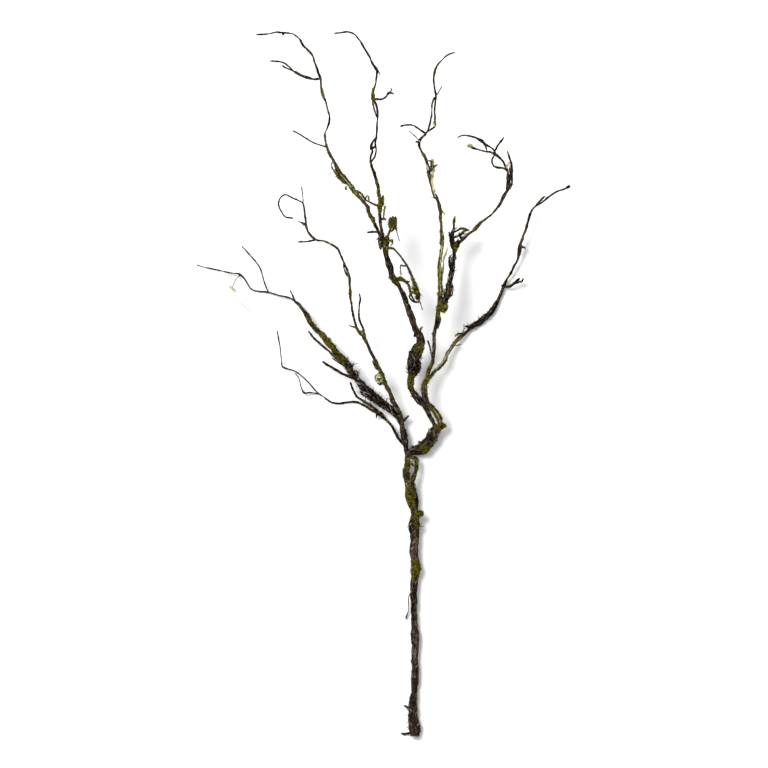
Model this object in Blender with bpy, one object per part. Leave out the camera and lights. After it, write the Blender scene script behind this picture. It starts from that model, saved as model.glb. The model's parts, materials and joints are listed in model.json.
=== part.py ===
"""A mossy, lichen-grown twisted branch, cut at its foot and lying on its back.

+Y runs along the stem from the cut foot to the twig tips, +X is to the right, and +Z is up from the
surface that it lies on. The origin is under the middle of the whole branch, on that surface.
The branch is split at its main forks. Every piece is a tapering limb swept along its own route.
"""

import math
import random
from collections import namedtuple

import bmesh
import bpy
from mathutils import Vector

# Driving dimensions. Routes are lists of (x, y, z, thickness) in millimetres.
MM = 0.001
JOINT_GAP = 0.3 * MM  # left between two pieces that meet at a fork
SIDES = ((9.9 * MM, 8), (5 * MM, 6), (0, 5))  # a limb's sides, by its greatest thickness
STEP_TO_THICKNESS = 1.4  # distance between rings against a limb's thickness
SHORTEST_STEP = 9 * MM
BARK_SWELL = 0.08  # how far the bark stands in and out, against the radius
TIP_LENGTH = 0.5  # length of each step of a rounded end, against its radius
TIP_SHOULDER = 0.65  # width of the last ring of a rounded end, against the limb
SEED = 7

BARKS = {
    "bark": ((0.045, 0.032, 0.022), 0.85),
    "moss": ((0.14, 0.13, 0.03), 0.95),
    "twig": ((0.03, 0.024, 0.018), 0.8),
}

Limb = namedtuple("Limb", "name bark grows_from route")

# The stem and the two strands that twist round each other above it.
TRUNK = (
    Limb("stem", "bark", (), (
        (42.8, -493, 7.9, 15.4), (42, -486, 7.3, 14.2), (41.2, -478, 7, 13.4), (39.9, -456, 7, 13.2),
        (41, -444, 7, 12), (42.2, -434, 7, 10.8), (42.6, -403, 7, 9.8), (43.5, -380, 7.3, 11),
        (43.3, -360, 7.4, 10.2), (42.4, -343, 7.5, 10), (42, -329, 7.7, 9.2), (42, -302, 8.2, 10.2),
        (42, -290, 8.6, 10.6), (42.4, -277, 9, 11.6), (44, -266, 9.6, 13.4), (44.9, -259, 10, 15.4),
        (43.4, -249, 10.2, 13.4), (41.8, -239, 10.4, 13), (42.2, -228, 10.8, 13.4),
        (43.1, -218, 11.2, 14.8), (42.6, -207, 11.5, 15.6))),
    Limb("mossy_strand", "moss", ("stem",), (
        (43.8, -204.5, 12.5, 10.4), (44.9, -191, 15, 10.4), (43.4, -179, 17.5, 11.4), (38.6, -169, 16, 12.4),
        (34.8, -158, 13, 12.5), (34.6, -147, 10, 11.4), (32.4, -137, 9, 11), (31.3, -127, 11, 10.4),
        (32.4, -117, 12.5, 11), (33, -106, 13.5, 11.4), (33.5, -97, 13.5, 9))),
    Limb("dark_strand", "bark", ("stem", "mossy_strand"), (
        (41.5, -204, 9.5, 9), (40.5, -191, 8.5, 9.5), (43.5, -179, 7.6, 9), (45, -168, 8.5, 8.5),
        (43.9, -158, 11, 8.6), (41.4, -148, 15, 9.2), (39.5, -138, 17, 9.4), (41.4, -130, 16.5, 8.2),
        (44.4, -122, 15.5, 6), (46, -113.6, 15, 6), (45.6, -106.6, 15, 6.2), (41.5, -101, 14, 6))),
    Limb("foot_rootlet", "twig", ("stem",), (
        (39, -489, 4.5, 3.6), (33, -490, 3.4, 3), (27.5, -490.6, 2.8, 4.4), (23.4, -489.4, 2.2, 3))),
    Limb("foot_stub", "bark", ("stem",), (
        (38, -457, 6.5, 4), (33, -453.6, 6.8, 3.2), (27.6, -450.4, 7.4, 3))),
    Limb("hanging_rootlet", "twig", ("stem",), (
        (40.5, -291, 8, 2.2), (36.5, -294, 7.5, 1.8), (34.4, -302, 6.4, 1.6), (34.7, -317, 4.6, 1.6),
        (32.7, -322, 3.8, 1.8), (30.2, -330, 3, 3))),
)

# The left limb and its three long arms: the low one, the tall one and the one that dips.
LEFT_LIMBS = (
    Limb("left_limb", "bark", ("mossy_strand", "dark_strand"), (
        (32.5, -99, 13.5, 8.5), (31, -90, 13.2, 8.2), (29, -78, 12.8, 10), (26, -62, 12.2, 10),
        (24.3, -51, 12, 9))),
    Limb("left_stub", "bark", ("left_limb",), (
        (25.5, -53, 12.5, 4.6), (29, -49.6, 13, 4.2), (33.4, -45.4, 14.5, 4.6), (35, -44.4, 14.8, 5))),
    Limb("low_arm", "bark", ("left_limb", "left_stub"), (
        (23, -54.5, 12, 7.5), (18, -44.5, 13, 9), (11.8, -38, 15, 10.4), (3.5, -31.5, 17, 11),
        (-4.5, -25.5, 19, 12), (-12.5, -19.5, 21, 12.4), (-20.5, -12.5, 23, 11), (-28.5, -5, 25, 10.4),
        (-35.6, 3.6, 27, 9), (-41.5, 11.6, 28.5, 9), (-47.2, 17.8, 29.5, 11), (-50.7, 26.8, 30, 11.5),
        (-56.2, 33.8, 30, 8.6), (-65.2, 41.8, 28.8, 8.8), (-74.2, 52.8, 27, 9.8), (-81.5, 61.8, 25.6, 9.6),
        (-88.5, 69.8, 24, 8), (-96.5, 78.3, 22, 8), (-103.5, 86.8, 20.4, 7.6), (-107.7, 95, 18.8, 8.4),
        (-111.3, 101.4, 17.4, 6), (-119, 111, 14.8, 5), (-126, 117, 12.5, 4))),
    Limb("low_arm_tip", "twig", ("low_arm",), (
        (-125.4, 116.6, 12.7, 1.9), (-132, 120.5, 10.8, 2.2), (-146, 124, 7.4, 2.1), (-157, 127, 4.8, 2.2),
        (-164, 129, 3.4, 2.2), (-178.5, 130, 1.7, 1.8), (-187, 134, 1.6, 1.8), (-194.5, 146, 2.8, 1.8),
        (-203, 154, 5, 1.9), (-214, 155.6, 7.6, 1.8), (-230, 159, 10, 1.6), (-253, 164, 12, 1.6),
        (-263, 167, 12.4, 1.8))),
    Limb("low_arm_twig", "twig", ("low_arm_tip",), (
        (-162, 128.6, 4, 1.6), (-166, 137, 6.4, 1.6), (-170, 150, 9.4, 1.5), (-174, 163, 12, 1.9),
        (-183, 175, 13.4, 1.6), (-199, 193, 12.4, 1.6))),
    Limb("low_arm_upper_side", "bark", ("low_arm",), (
        (-53, 29.5, 32, 4.6), (-59.5, 30.6, 35, 4), (-67, 36.5, 37, 4), (-77, 45.5, 38, 3.8),
        (-89, 56, 37.4, 3.6), (-100, 66, 35, 3.4), (-106, 75, 32.4, 3.4))),
    Limb("low_arm_lower_side", "bark", ("low_arm",), (
        (-38.5, 7.4, 27, 4.6), (-49, 10, 24, 4.2), (-57, 14, 21.6, 4.2), (-71, 22, 18.6, 4),
        (-82, 28.6, 16.6, 4), (-87, 31.4, 16, 4.8))),
    Limb("tall_arm", "bark", ("left_limb", "left_stub", "low_arm"), (
        (25.3, -53.5, 13.5, 5.6), (22.6, -41, 18, 5.8), (18, -31, 21, 5.6), (13.4, -22, 24, 5.6),
        (8.2, -12, 26.6, 6.2), (3.9, -2.8, 29, 6.2), (-2.1, 10.8, 32, 7), (-6.2, 19.7, 34, 6.4),
        (-10.7, 28.7, 36, 5.8), (-18.2, 43.7, 39, 5.2), (-25.2, 60.8, 42, 4.8), (-34.3, 72, 45, 4.6),
        (-41, 86, 48, 4.2), (-44.4, 105, 51, 3.8), (-47.5, 128, 54, 3.8), (-48.5, 150, 56, 3.8),
        (-54.5, 167, 57, 3.6))),
    Limb("tall_arm_side", "twig", ("tall_arm",), (
        (-26.5, 64, 43.5, 3.4), (-29.5, 78, 49, 3.2), (-34, 89, 52, 3.2), (-35.2, 101, 54, 3),
        (-33.4, 118, 56, 2.8), (-35, 127, 57, 2.6))),
    Limb("tall_arm_upper", "twig", ("tall_arm",), (
        (-54.2, 166, 57, 3), (-61, 181, 58, 3.4), (-65, 189, 58, 4.6), (-73.5, 195, 58, 3.4),
        (-85, 200, 57, 3.4), (-95.5, 202, 56, 4), (-104, 209.5, 55, 3.4), (-108.5, 219, 54, 3.6),
        (-109.5, 228, 53, 3.4), (-111.5, 244, 51, 2.8), (-113.7, 254, 50, 3.4))),
    Limb("tall_arm_spur", "twig", ("tall_arm_upper",), (
        (-95.5, 201.6, 57, 3), (-107, 199.6, 61, 2.8), (-118.4, 199, 63, 2.8), (-121, 199, 63.4, 3.6))),
    Limb("tall_arm_curl", "twig", ("tall_arm_upper",), (
        (-113.7, 253, 50, 2), (-118, 256, 49, 2), (-129, 261, 47, 2), (-138, 265, 46, 1.8),
        (-145, 260.5, 47, 1.8), (-147.6, 252, 49, 1.8), (-144, 242, 52, 1.8), (-138, 234, 54.4, 1.8),
        (-127, 232, 55.6, 1.8))),
    Limb("dipping_arm", "bark", ("left_limb",), (
        (26.5, -84, 12.5, 5), (20, -76, 12, 4.2), (12, -61, 10, 3.8), (5.5, -53, 8.6, 3.8),
        (-0.5, -47, 7.4, 5), (-6, -41.5, 6.8, 9), (-11.5, -39.4, 6, 5.6), (-18, -36.4, 5, 4),
        (-28.5, -30, 3.8, 3.4), (-39, -25.2, 2.6, 3), (-52, -25.6, 1.8, 2.8), (-65, -27.5, 1.6, 2.6))),
    Limb("dipping_arm_tip", "twig", ("dipping_arm",), (
        (-63, -27.4, 1.6, 2), (-74, -25.6, 1.6, 2.2), (-85, -18, 1.8, 2.2), (-95.4, -10, 2.6, 2),
        (-109, 5.5, 5, 2), (-124, 17.5, 8, 2), (-141, 23.3, 11, 2.6), (-143.5, 33, 12.4, 1.8),
        (-146, 54, 15, 1.8), (-149.6, 75, 18, 1.8))),
    Limb("dipping_arm_side", "twig", ("dipping_arm",), (
        (-7, -40, 8, 4.2), (-16, -32, 10.4, 4), (-23, -27, 11.6, 3.8), (-36.5, -19, 13, 3.6),
        (-42.5, -10, 14.4, 3.4), (-47.5, 2.5, 16, 3))),
)

# The swollen root of the right side, its pointed elbow, and the two strands that cross above it.
ELBOW = (
    Limb("right_root", "moss", ("mossy_strand", "dark_strand", "left_limb"), (
        (37.5, -95, 12.6, 11), (45, -93.2, 11, 15.6), (53, -90.8, 10.4, 20), (60.8, -84, 10.2, 19),
        (66.6, -76, 12, 18), (69.8, -67.2, 14.6, 18.4), (76, -61, 17, 16), (82, -58.6, 18, 13),
        (87, -59.6, 18, 8))),
    Limb("front_strand", "moss", ("right_root",), (
        (79, -58.5, 21, 8.6), (76.6, -48.6, 25, 9), (72.8, -40.4, 28.5, 9), (66.6, -33, 31, 9),
        (60.2, -25.6, 32, 9.4), (57.6, -17, 31, 10.4), (56.6, -8, 30, 10.6), (57.4, 0, 29, 10.4),
        (60.2, 7, 28.6, 9.2))),
    Limb("back_strand", "bark", ("right_root", "front_strand"), (
        (70.5, -57, 18.5, 6.6), (66.5, -49.5, 19.6, 6.4), (62, -41.5, 20, 7), (58.4, -32.6, 20, 8.6),
        (51.6, -24.4, 20.6, 10.4), (45.2, -17.4, 22, 11), (40.4, -11, 24, 11.4), (38, -3, 25.4, 10.6))),
)

# The middle limb: one thick bough that forks in two long arms, with twigs hung with moss.
MIDDLE_LIMBS = (
    Limb("middle_bough", "bark", ("back_strand",), (
        (37.4, -4.5, 25.2, 10.6), (37.4, 4, 26.6, 10.6), (38.6, 12, 28, 11.4), (40.6, 20, 30, 15),
        (41.2, 30, 32, 16.6), (43, 40, 34, 17.4), (48, 50, 37, 17.2), (50.9, 57.5, 39, 13.6),
        (50.2, 66, 41.4, 11.6), (46.2, 73, 43.6, 10.6), (42.2, 82, 46, 9.4), (38.5, 92, 48, 9.6),
        (35, 102, 50, 10), (32.4, 110, 52, 9.4), (29.4, 120, 54, 8.4), (24.6, 130, 57, 7.8),
        (19, 140, 59.4, 7.4), (13.2, 147, 61, 9.6), (10, 156, 63, 9.4), (7, 167, 65, 10.2),
        (4, 176, 67, 8.4), (2, 188, 69, 8.4), (0, 198, 71, 9.4), (-2, 205, 73, 9))),
    Limb("left_horn", "moss", ("middle_bough",), (
        (-3, 204, 73, 5.6), (-7, 211, 75, 5), (-14.2, 226, 78.6, 5.4), (-20.8, 240, 81.6, 5.6),
        (-24.5, 250.5, 83.6, 5), (-35, 261, 86, 6), (-44.6, 274, 88, 6.2), (-50, 281, 89, 6.8),
        (-57, 289, 90.4, 8.4), (-64, 298, 91, 7), (-69, 309.5, 91, 4.8), (-76, 322, 90.2, 4.6),
        (-80, 333, 89, 3.6), (-83, 346, 87.6, 2.8), (-82.5, 352, 87, 2.6))),
    Limb("bough_stub", "bark", ("left_horn",), (
        (-8, 212, 75.4, 4), (-15, 212.4, 77, 4), (-24, 212, 78, 4.6))),
    Limb("left_horn_upper", "twig", ("left_horn",), (
        (-82.6, 351.2, 87, 2.4), (-78, 361, 85.6, 3), (-76.3, 373.6, 84, 3.1), (-80.6, 391, 81, 3.1),
        (-86.5, 407, 78, 3.2), (-88, 418, 76, 3.1), (-88, 427, 75, 4), (-92, 436, 73, 3.5),
        (-96.6, 450, 70, 2.9), (-101, 461, 67.6, 2.8), (-112, 472.5, 63.4, 2.8), (-118, 482, 60, 2.8),
        (-127, 490, 57, 2.5), (-141, 491.6, 54, 2.8), (-150, 492.6, 52, 2.5), (-161, 490, 50, 2.5),
        (-179, 489.3, 46, 2.9))),
    Limb("left_horn_low_twig", "twig", ("left_horn",), (
        (-79, 331, 90, 2.5), (-89, 334, 92.6, 2.3), (-100, 338, 94, 2.3), (-114, 347, 94, 2.3),
        (-128, 354.4, 92.6, 2.1))),
    Limb("left_horn_high_twig", "twig", ("left_horn_upper",), (
        (-88, 427, 76, 2.8), (-98, 426.5, 77.6, 3.5), (-107, 428.4, 78, 2.9), (-118, 431.6, 77, 3.2),
        (-127, 438, 75.6, 3), (-138, 448, 73.6, 2.9), (-147, 451, 72, 2.8), (-160, 452, 70, 2.2))),
    Limb("right_horn", "moss", ("middle_bough", "left_horn"), (
        (-1.5, 204, 73, 5.4), (-3.6, 216, 76, 5), (-5, 227, 78.6, 5), (-6.2, 238, 81, 5),
        (-5.6, 247, 83, 7.4), (-4.6, 255, 84.6, 8.6), (-7, 264, 86.4, 5.4), (-8, 274, 88.4, 5),
        (-11, 287, 91, 4.8), (-15.6, 300, 92.6, 5), (-19.8, 312, 93.4, 4.8))),
    Limb("horn_bridge", "twig", ("left_horn", "right_horn"), (
        (-42, 271, 88.4, 2.4), (-33, 267, 93, 2.4), (-26, 258, 94, 2.4), (-15, 252, 92, 2.4),
        (-6, 247.5, 85, 2.4))),
    Limb("right_horn_left_ply", "twig", ("right_horn",), (
        (-19.4, 311, 93.4, 2.8), (-18.8, 318, 96, 2.8), (-15.8, 325, 97.4, 2.8), (-17.8, 332, 98, 4.6),
        (-15, 339.4, 98.6, 3.2), (-10.8, 346, 98.6, 2.8))),
    Limb("right_horn_right_ply", "twig", ("right_horn", "right_horn_left_ply"), (
        (-18.6, 309.4, 93, 2.6), (-13.2, 317, 91.4, 2.6), (-11, 327, 91, 2.6), (-12.2, 336.6, 92.6, 2.8),
        (-9.4, 346, 95.6, 2.6))),
    Limb("right_horn_upper", "twig", ("right_horn_left_ply", "right_horn_right_ply"), (
        (-11, 344.5, 98, 3.1), (-9.8, 358, 99, 2.9), (-9, 377, 99, 2.9), (-10.6, 389.5, 99, 4.1),
        (-15, 397, 99, 5.5), (-15.8, 404, 99, 6), (-15, 411, 99, 4.3), (-12, 419, 98.6, 2.4),
        (-10.4, 431, 97.6, 2.4), (-10.4, 441, 96.6, 3.4), (-16, 448.6, 95, 3.1), (-21, 459, 93, 2.9),
        (-27, 469, 90.6, 2.8), (-35, 482, 87.6, 2.5), (-42, 489.4, 85, 2.5), (-51, 492.4, 82, 2.5),
        (-61, 491.4, 79.4, 2.4), (-70.5, 490.4, 77, 2.4))),
    Limb("right_horn_twig", "twig", ("right_horn_upper",), (
        (-14.5, 398.4, 100, 3.5), (-4, 398, 102, 3), (2, 400.6, 103, 2.9), (7.4, 407, 104, 4.6),
        (14.5, 405, 105, 2.9))),
    Limb("bush_twig", "moss", ("middle_bough", "right_horn"), (
        (0, 201, 73, 3.6), (6, 208.5, 77, 3), (9.4, 218, 80, 2.8), (12.4, 227, 83, 3), (12, 234.4, 84.6, 3))),
    Limb("drooping_twig", "moss", ("middle_bough",), (
        (3, 189.5, 70.5, 3), (12, 190, 74, 2.6), (18, 184.6, 75.4, 2.4), (26.5, 174, 75.6, 2.6),
        (34, 162, 74, 3), (38.8, 150, 72, 4.2), (41.8, 142.4, 70.6, 5), (45.8, 131, 67, 5),
        (49.8, 115.6, 61.6, 2.4))),
    Limb("drooping_side_twig", "moss", ("middle_bough", "drooping_twig"), (
        (15, 146.8, 61.5, 3.4), (23, 146.6, 64, 5), (29.4, 143.6, 64.6, 3), (35.2, 137, 63.6, 3),
        (38, 124, 60.6, 2.6), (44, 114.6, 57.6, 2.2))),
)

# The right limb, which stands straight up from the crossing strands, and its doubled tip.
RIGHT_LIMBS = (
    Limb("right_bough", "bark", ("front_strand",), (
        (59, 5, 28.6, 6.6), (63.2, 19.6, 32, 6.4), (68.2, 31, 35, 6.4), (69.6, 42, 38, 6.6),
        (70.2, 58, 42, 6.2), (70.2, 71, 45, 6.4), (73.8, 84, 48, 6.8), (76, 99, 50.4, 7.4),
        (77.8, 112, 52, 8.6), (78.8, 121, 53, 6), (78.4, 131, 54, 5.6), (77.2, 149, 56.4, 5.8),
        (76.9, 162, 58.4, 5.4), (79.4, 179, 61.4, 5), (81, 190, 63.4, 5), (81, 208, 66.4, 5.8),
        (80, 218, 68, 4.4), (79, 237, 70, 4.6), (77, 249, 71.4, 6.2), (74.6, 258.6, 72.4, 6.8))),
    Limb("right_bough_upper", "bark", ("right_bough",), (
        (75, 257, 72.4, 5), (70, 267, 73, 6.4), (65.8, 280.6, 74, 5.8), (63, 294, 75, 5.4),
        (60.6, 306, 75.4, 5.2), (57, 318, 75.6, 4.4), (52.2, 326, 75.4, 4), (49.2, 337.5, 75, 4),
        (53.5, 344.6, 75, 4), (59, 350.6, 75, 4.4))),
    Limb("left_ply", "twig", ("right_bough_upper",), (
        (58.2, 349.4, 75.6, 2.8), (62.6, 359, 78, 2.8), (66.2, 374.5, 80, 2.8), (67.2, 390.5, 81, 2.8),
        (70.4, 401.5, 81, 2.8))),
    Limb("right_ply", "twig", ("right_bough_upper", "left_ply"), (
        (58.6, 350.4, 74.6, 2.6), (65.4, 356.2, 73.4, 2.8), (71, 361, 72.8, 2.6), (71.6, 371, 73, 2.6),
        (70.5, 380, 73.4, 2.6), (70.8, 386, 74, 3.4), (72, 396, 76, 2.5), (72.3, 403.5, 77.6, 3.2),
        (71, 414, 78, 2.8), (69.2, 426, 77, 2.6), (70.4, 435, 76, 3), (74, 444, 74.6, 3.2),
        (80, 452.4, 73, 2.6), (90.5, 461, 71, 2.4), (99.5, 464, 70, 2.5))),
    Limb("right_bough_twig", "twig", ("right_bough_upper", "left_ply"), (
        (58.4, 350, 76, 2.6), (48, 357, 79.6, 2.5), (41, 361.8, 81, 2.5), (33, 362.4, 82, 2.5),
        (22.7, 360.5, 83, 2.3))),
    Limb("dark_bough", "bark", ("right_bough",), (
        (79.5, 107.5, 51, 7.4), (85, 115.5, 49.6, 8.6), (88, 122.5, 48.6, 9.4), (89.8, 131, 48, 9.8),
        (92.4, 141, 47, 9), (94.2, 151, 46, 8.6), (95.4, 159, 45, 7), (95.8, 169, 44, 7.6),
        (97.8, 178, 43, 7.6), (98.6, 186.5, 42, 6.2))),
    Limb("dark_bough_upper", "moss", ("dark_bough",), (
        (98.4, 184.5, 42, 5), (97.2, 194, 42, 5.6), (95.6, 203, 42, 7.2), (95.8, 211, 42.4, 5),
        (98, 221, 43, 2.4), (98, 229, 43.4, 4), (99.8, 235, 43.8, 2))),
    Limb("dark_bough_twig", "twig", ("dark_bough_upper",), (
        (95.8, 212, 42.8, 2.6), (102.6, 215, 44, 2.4), (109, 217.8, 45, 2.4), (120, 215, 46.4, 2.2))),
    Limb("curling_arm", "bark", ("dark_bough", "dark_bough_upper"), (
        (99, 185, 42, 5.5), (102, 191.6, 41.6, 5.3), (107, 200, 42, 4.8), (116, 208.4, 43.6, 4.6),
        (125, 215, 45.6, 4.6), (130.4, 220.4, 47, 5.8), (140, 229, 49, 3.6), (150, 237, 50.8, 2.4),
        (161, 249.4, 53, 3.2), (167.4, 261, 54.4, 3.6), (172.6, 271.6, 55.6, 5.3), (173.4, 285, 57, 5),
        (173, 298.6, 58, 4.3))),
    Limb("curl_right_ply", "twig", ("curling_arm",), (
        (173.6, 271, 56.6, 3.4), (178.2, 279, 60, 3.4), (178.9, 294, 61, 3.4), (178, 309, 59.4, 3.4),
        (172.4, 326, 55.6, 2.8))),
    Limb("curl_tip", "twig", ("curling_arm",), (
        (173.4, 296.4, 58, 3.8), (169.4, 306.4, 58.4, 3.8), (164.4, 314.4, 58.6, 3.5),
        (155.6, 321.6, 58.6, 4.6), (149, 324.4, 58.4, 3), (138, 326.4, 57.4, 3),
        (126, 330, 55.6, 3.8), (120.6, 333, 54.8, 6.8))),
    Limb("curl_left_ply", "twig", ("curling_arm", "curl_tip"), (
        (173, 298, 57, 3), (166.6, 302, 54.6, 2.7), (155, 304.6, 53, 2.7), (151.2, 313, 53.4, 2.7),
        (155, 321.4, 57.6, 2.7))),
    Limb("curl_upper_ply", "twig", ("curl_tip",), (
        (156, 321.6, 60, 3.2), (152.6, 328.8, 63, 3), (145, 334, 64.4, 3), (136, 340.4, 65.4, 4.9),
        (123, 346, 65, 3), (112, 348, 63.6, 2.8), (103, 345, 62, 2.7))),
    Limb("curl_spur", "twig", ("curl_upper_ply", "curl_tip"), (
        (155, 325.5, 61.8, 2.6), (159.4, 334, 64.4, 2.5), (168, 345.4, 66, 2.3))),
    Limb("sweeping_arm", "bark", ("front_strand", "right_bough"), (
        (60, 4.2, 28, 5.8), (65.4, 10.3, 27, 5.4), (70.8, 17.2, 25, 5.1), (78.9, 25.1, 21.6, 5),
        (85.8, 34.4, 18.2, 5), (90.2, 45.6, 15, 5), (98.2, 55.8, 12, 5), (108.2, 65.5, 9, 4.8),
        (116.4, 74, 7, 5), (122, 79.4, 5.8, 7.4), (130.6, 84.8, 5, 9.4), (139.8, 92.2, 5, 8.6),
        (149.6, 99.8, 5, 7.2), (157, 110.2, 4.6, 5), (162, 122.4, 4.8, 5), (166.4, 133, 5.4, 5.2),
        (170.4, 142.6, 6.6, 4.6), (174, 150, 7.8, 3.8))),
    Limb("sweeping_arm_side", "bark", ("sweeping_arm",), (
        (162, 121.6, 6.4, 2.6), (157.6, 116.4, 9, 2.6), (150.6, 106.4, 11.6, 2.6), (142.6, 96.8, 12.4, 2.6),
        (134.6, 90.6, 12, 2.6))),
    Limb("sweeping_arm_upper", "bark", ("sweeping_arm",), (
        (173.3, 148.4, 7.6, 3.5), (181, 162, 9.4, 3.4), (187, 174, 10.8, 4.1), (189.8, 185, 12.4, 6),
        (190.6, 195, 14, 5.5), (194, 205, 15.6, 4.8), (200.6, 223, 19, 3.8), (206, 241, 22, 3.8),
        (213.4, 250, 24.4, 3.2), (221.6, 255, 26.4, 3), (232, 263, 28.6, 2.8), (242, 269.4, 30, 2.8),
        (253, 273.4, 31, 3), (259.4, 276.4, 31.4, 6.2))),
    Limb("sweeping_arm_twig", "twig", ("sweeping_arm",), (
        (169.6, 136.2, 6.4, 3.6), (177, 137, 10.4, 3.1), (182, 140.8, 12.4, 3), (190, 148.6, 14.6, 2.6))),
    Limb("sweeping_arm_spur", "twig", ("sweeping_arm_upper",), (
        (212.6, 249.2, 25, 2.8), (217.4, 255.6, 28, 2.5), (226, 263.6, 31, 2.2))),
)

LIMBS = TRUNK + LEFT_LIMBS + ELBOW + MIDDLE_LIMBS + RIGHT_LIMBS


def clear_scene():
    for obj in list(bpy.data.objects):
        bpy.data.objects.remove(obj, do_unlink=True)


def between(before, start, end, after, t):
    """A point on the smooth curve from start to end, with its thickness as the fourth number."""
    return tuple(
        0.5 * (2 * b + (c - a) * t + (2 * a - 5 * b + 4 * c - d) * t**2 + (3 * b - a - 3 * c + d) * t**3)
        for a, b, c, d in zip(before, start, end, after)
    )


def smooth_route(route):
    """Points and radii in metres along the smooth curve through a route."""
    stops = [tuple(value * MM for value in stop) for stop in route]
    ends = [stops[0], *stops, stops[-1]]
    samples = []
    for before, start, end, after in zip(ends, ends[1:], ends[2:], ends[3:]):
        length = (Vector(end[:3]) - Vector(start[:3])).length
        step = max(SHORTEST_STEP, STEP_TO_THICKNESS * min(start[3], end[3]))
        pieces = max(1, round(length / step))
        samples += [between(before, start, end, after, i / pieces) for i in range(pieces)]
    samples.append(stops[-1])
    return [Vector(s[:3]) for s in samples], [s[3] / 2 for s in samples]


def frames_along(points):
    """A tangent and two side directions at each point, turned as little as possible from one to the next."""
    tangents = []
    for i, point in enumerate(points):
        ahead = points[min(i + 1, len(points) - 1)]
        behind = points[max(i - 1, 0)]
        tangents.append((ahead - behind).normalized())
    side = tangents[0].orthogonal().normalized()
    frames = []
    for tangent in tangents:
        side = (side - tangent * side.dot(tangent)).normalized()
        frames.append((tangent, side, tangent.cross(side)))
    return frames


def limb_mesh(limb, grown=0.0):
    """One closed limb: rings along its route, uneven bark and closed ends. It can be grown on all sides."""
    points, radii = smooth_route(limb.route)
    frames = frames_along(points)
    sides = next(count for thickness, count in SIDES if 2 * max(radii) > thickness)
    rng = random.Random(f"{SEED} {limb.name}")
    points[0] -= frames[0][0] * grown
    shoulder = points[-1] + frames[-1][0] * (radii[-1] * TIP_LENGTH + grown)
    rings = list(zip(points + [shoulder], frames + [frames[-1]], radii + [radii[-1] * TIP_SHOULDER]))
    bm = bmesh.new()
    loops = []
    for centre, (_, side, other), radius in rings:
        loop = []
        for k in range(sides):
            turn = math.tau * k / sides
            reach = radius * (1 + rng.uniform(-BARK_SWELL, BARK_SWELL)) + grown
            loop.append(bm.verts.new(centre + side * math.cos(turn) * reach + other * math.sin(turn) * reach))
        loops.append(loop)
    for lower, upper in zip(loops, loops[1:]):
        for k in range(sides):
            n = (k + 1) % sides
            bm.faces.new((lower[k], lower[n], upper[n], upper[k]))
    tip = bm.verts.new(shoulder + frames[-1][0] * radii[-1] * TIP_LENGTH)
    for k in range(sides):
        bm.faces.new((loops[-1][k], loops[-1][(k + 1) % sides], tip))
    bm.faces.new(reversed(loops[0]))
    bmesh.ops.triangulate(bm, faces=bm.faces)
    bmesh.ops.recalc_face_normals(bm, faces=bm.faces)
    mesh = bpy.data.meshes.new(limb.name)
    bm.to_mesh(mesh)
    bm.free()
    return mesh


def bark_material(limb):
    colour, roughness = BARKS[limb.bark]
    material = bpy.data.materials.new(f"{limb.name}_{limb.bark}")
    material.use_nodes = True
    shader = material.node_tree.nodes["Principled BSDF"]
    shader.inputs["Base Color"].default_value = (*colour, 1.0)
    shader.inputs["Roughness"].default_value = roughness
    shader.inputs["Metallic"].default_value = 0.0
    return material


def add_object(name, mesh):
    obj = bpy.data.objects.new(name, mesh)
    bpy.context.scene.collection.objects.link(obj)
    return obj


def add_cutter(limb):
    """The limb grown by the joint gap, which trims the pieces that grow from it."""
    cutter = add_object(f"{limb.name}_cutter", limb_mesh(limb, JOINT_GAP))
    cutter.hide_render = True
    cutter.display_type = "WIRE"
    return cutter


def add_limb(limb, cutters):
    mesh = limb_mesh(limb)
    mesh.shade_smooth()
    mesh.materials.append(bark_material(limb))
    obj = add_object(limb.name, mesh)
    for name in limb.grows_from:
        trim = obj.modifiers.new(f"trim_at_{name}", "BOOLEAN")
        trim.operation = "DIFFERENCE"
        trim.solver = "EXACT"
        trim.object = cutters[name]


def build():
    clear_scene()
    parents = {name for limb in LIMBS for name in limb.grows_from}
    cutters = {limb.name: add_cutter(limb) for limb in LIMBS if limb.name in parents}
    for limb in LIMBS:
        add_limb(limb, cutters)


build()
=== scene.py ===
"""Builds a mossy, lichen-grown twisted branch that lies on its back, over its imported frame.

+Y runs along the stem from the cut foot to the twig tips, +X is to the right and +Z is up.
"""

import json
import math
import random

import bmesh
import bpy
from bpy.props import EnumProperty, FloatProperty, FloatVectorProperty, PointerProperty
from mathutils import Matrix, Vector, noise

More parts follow.
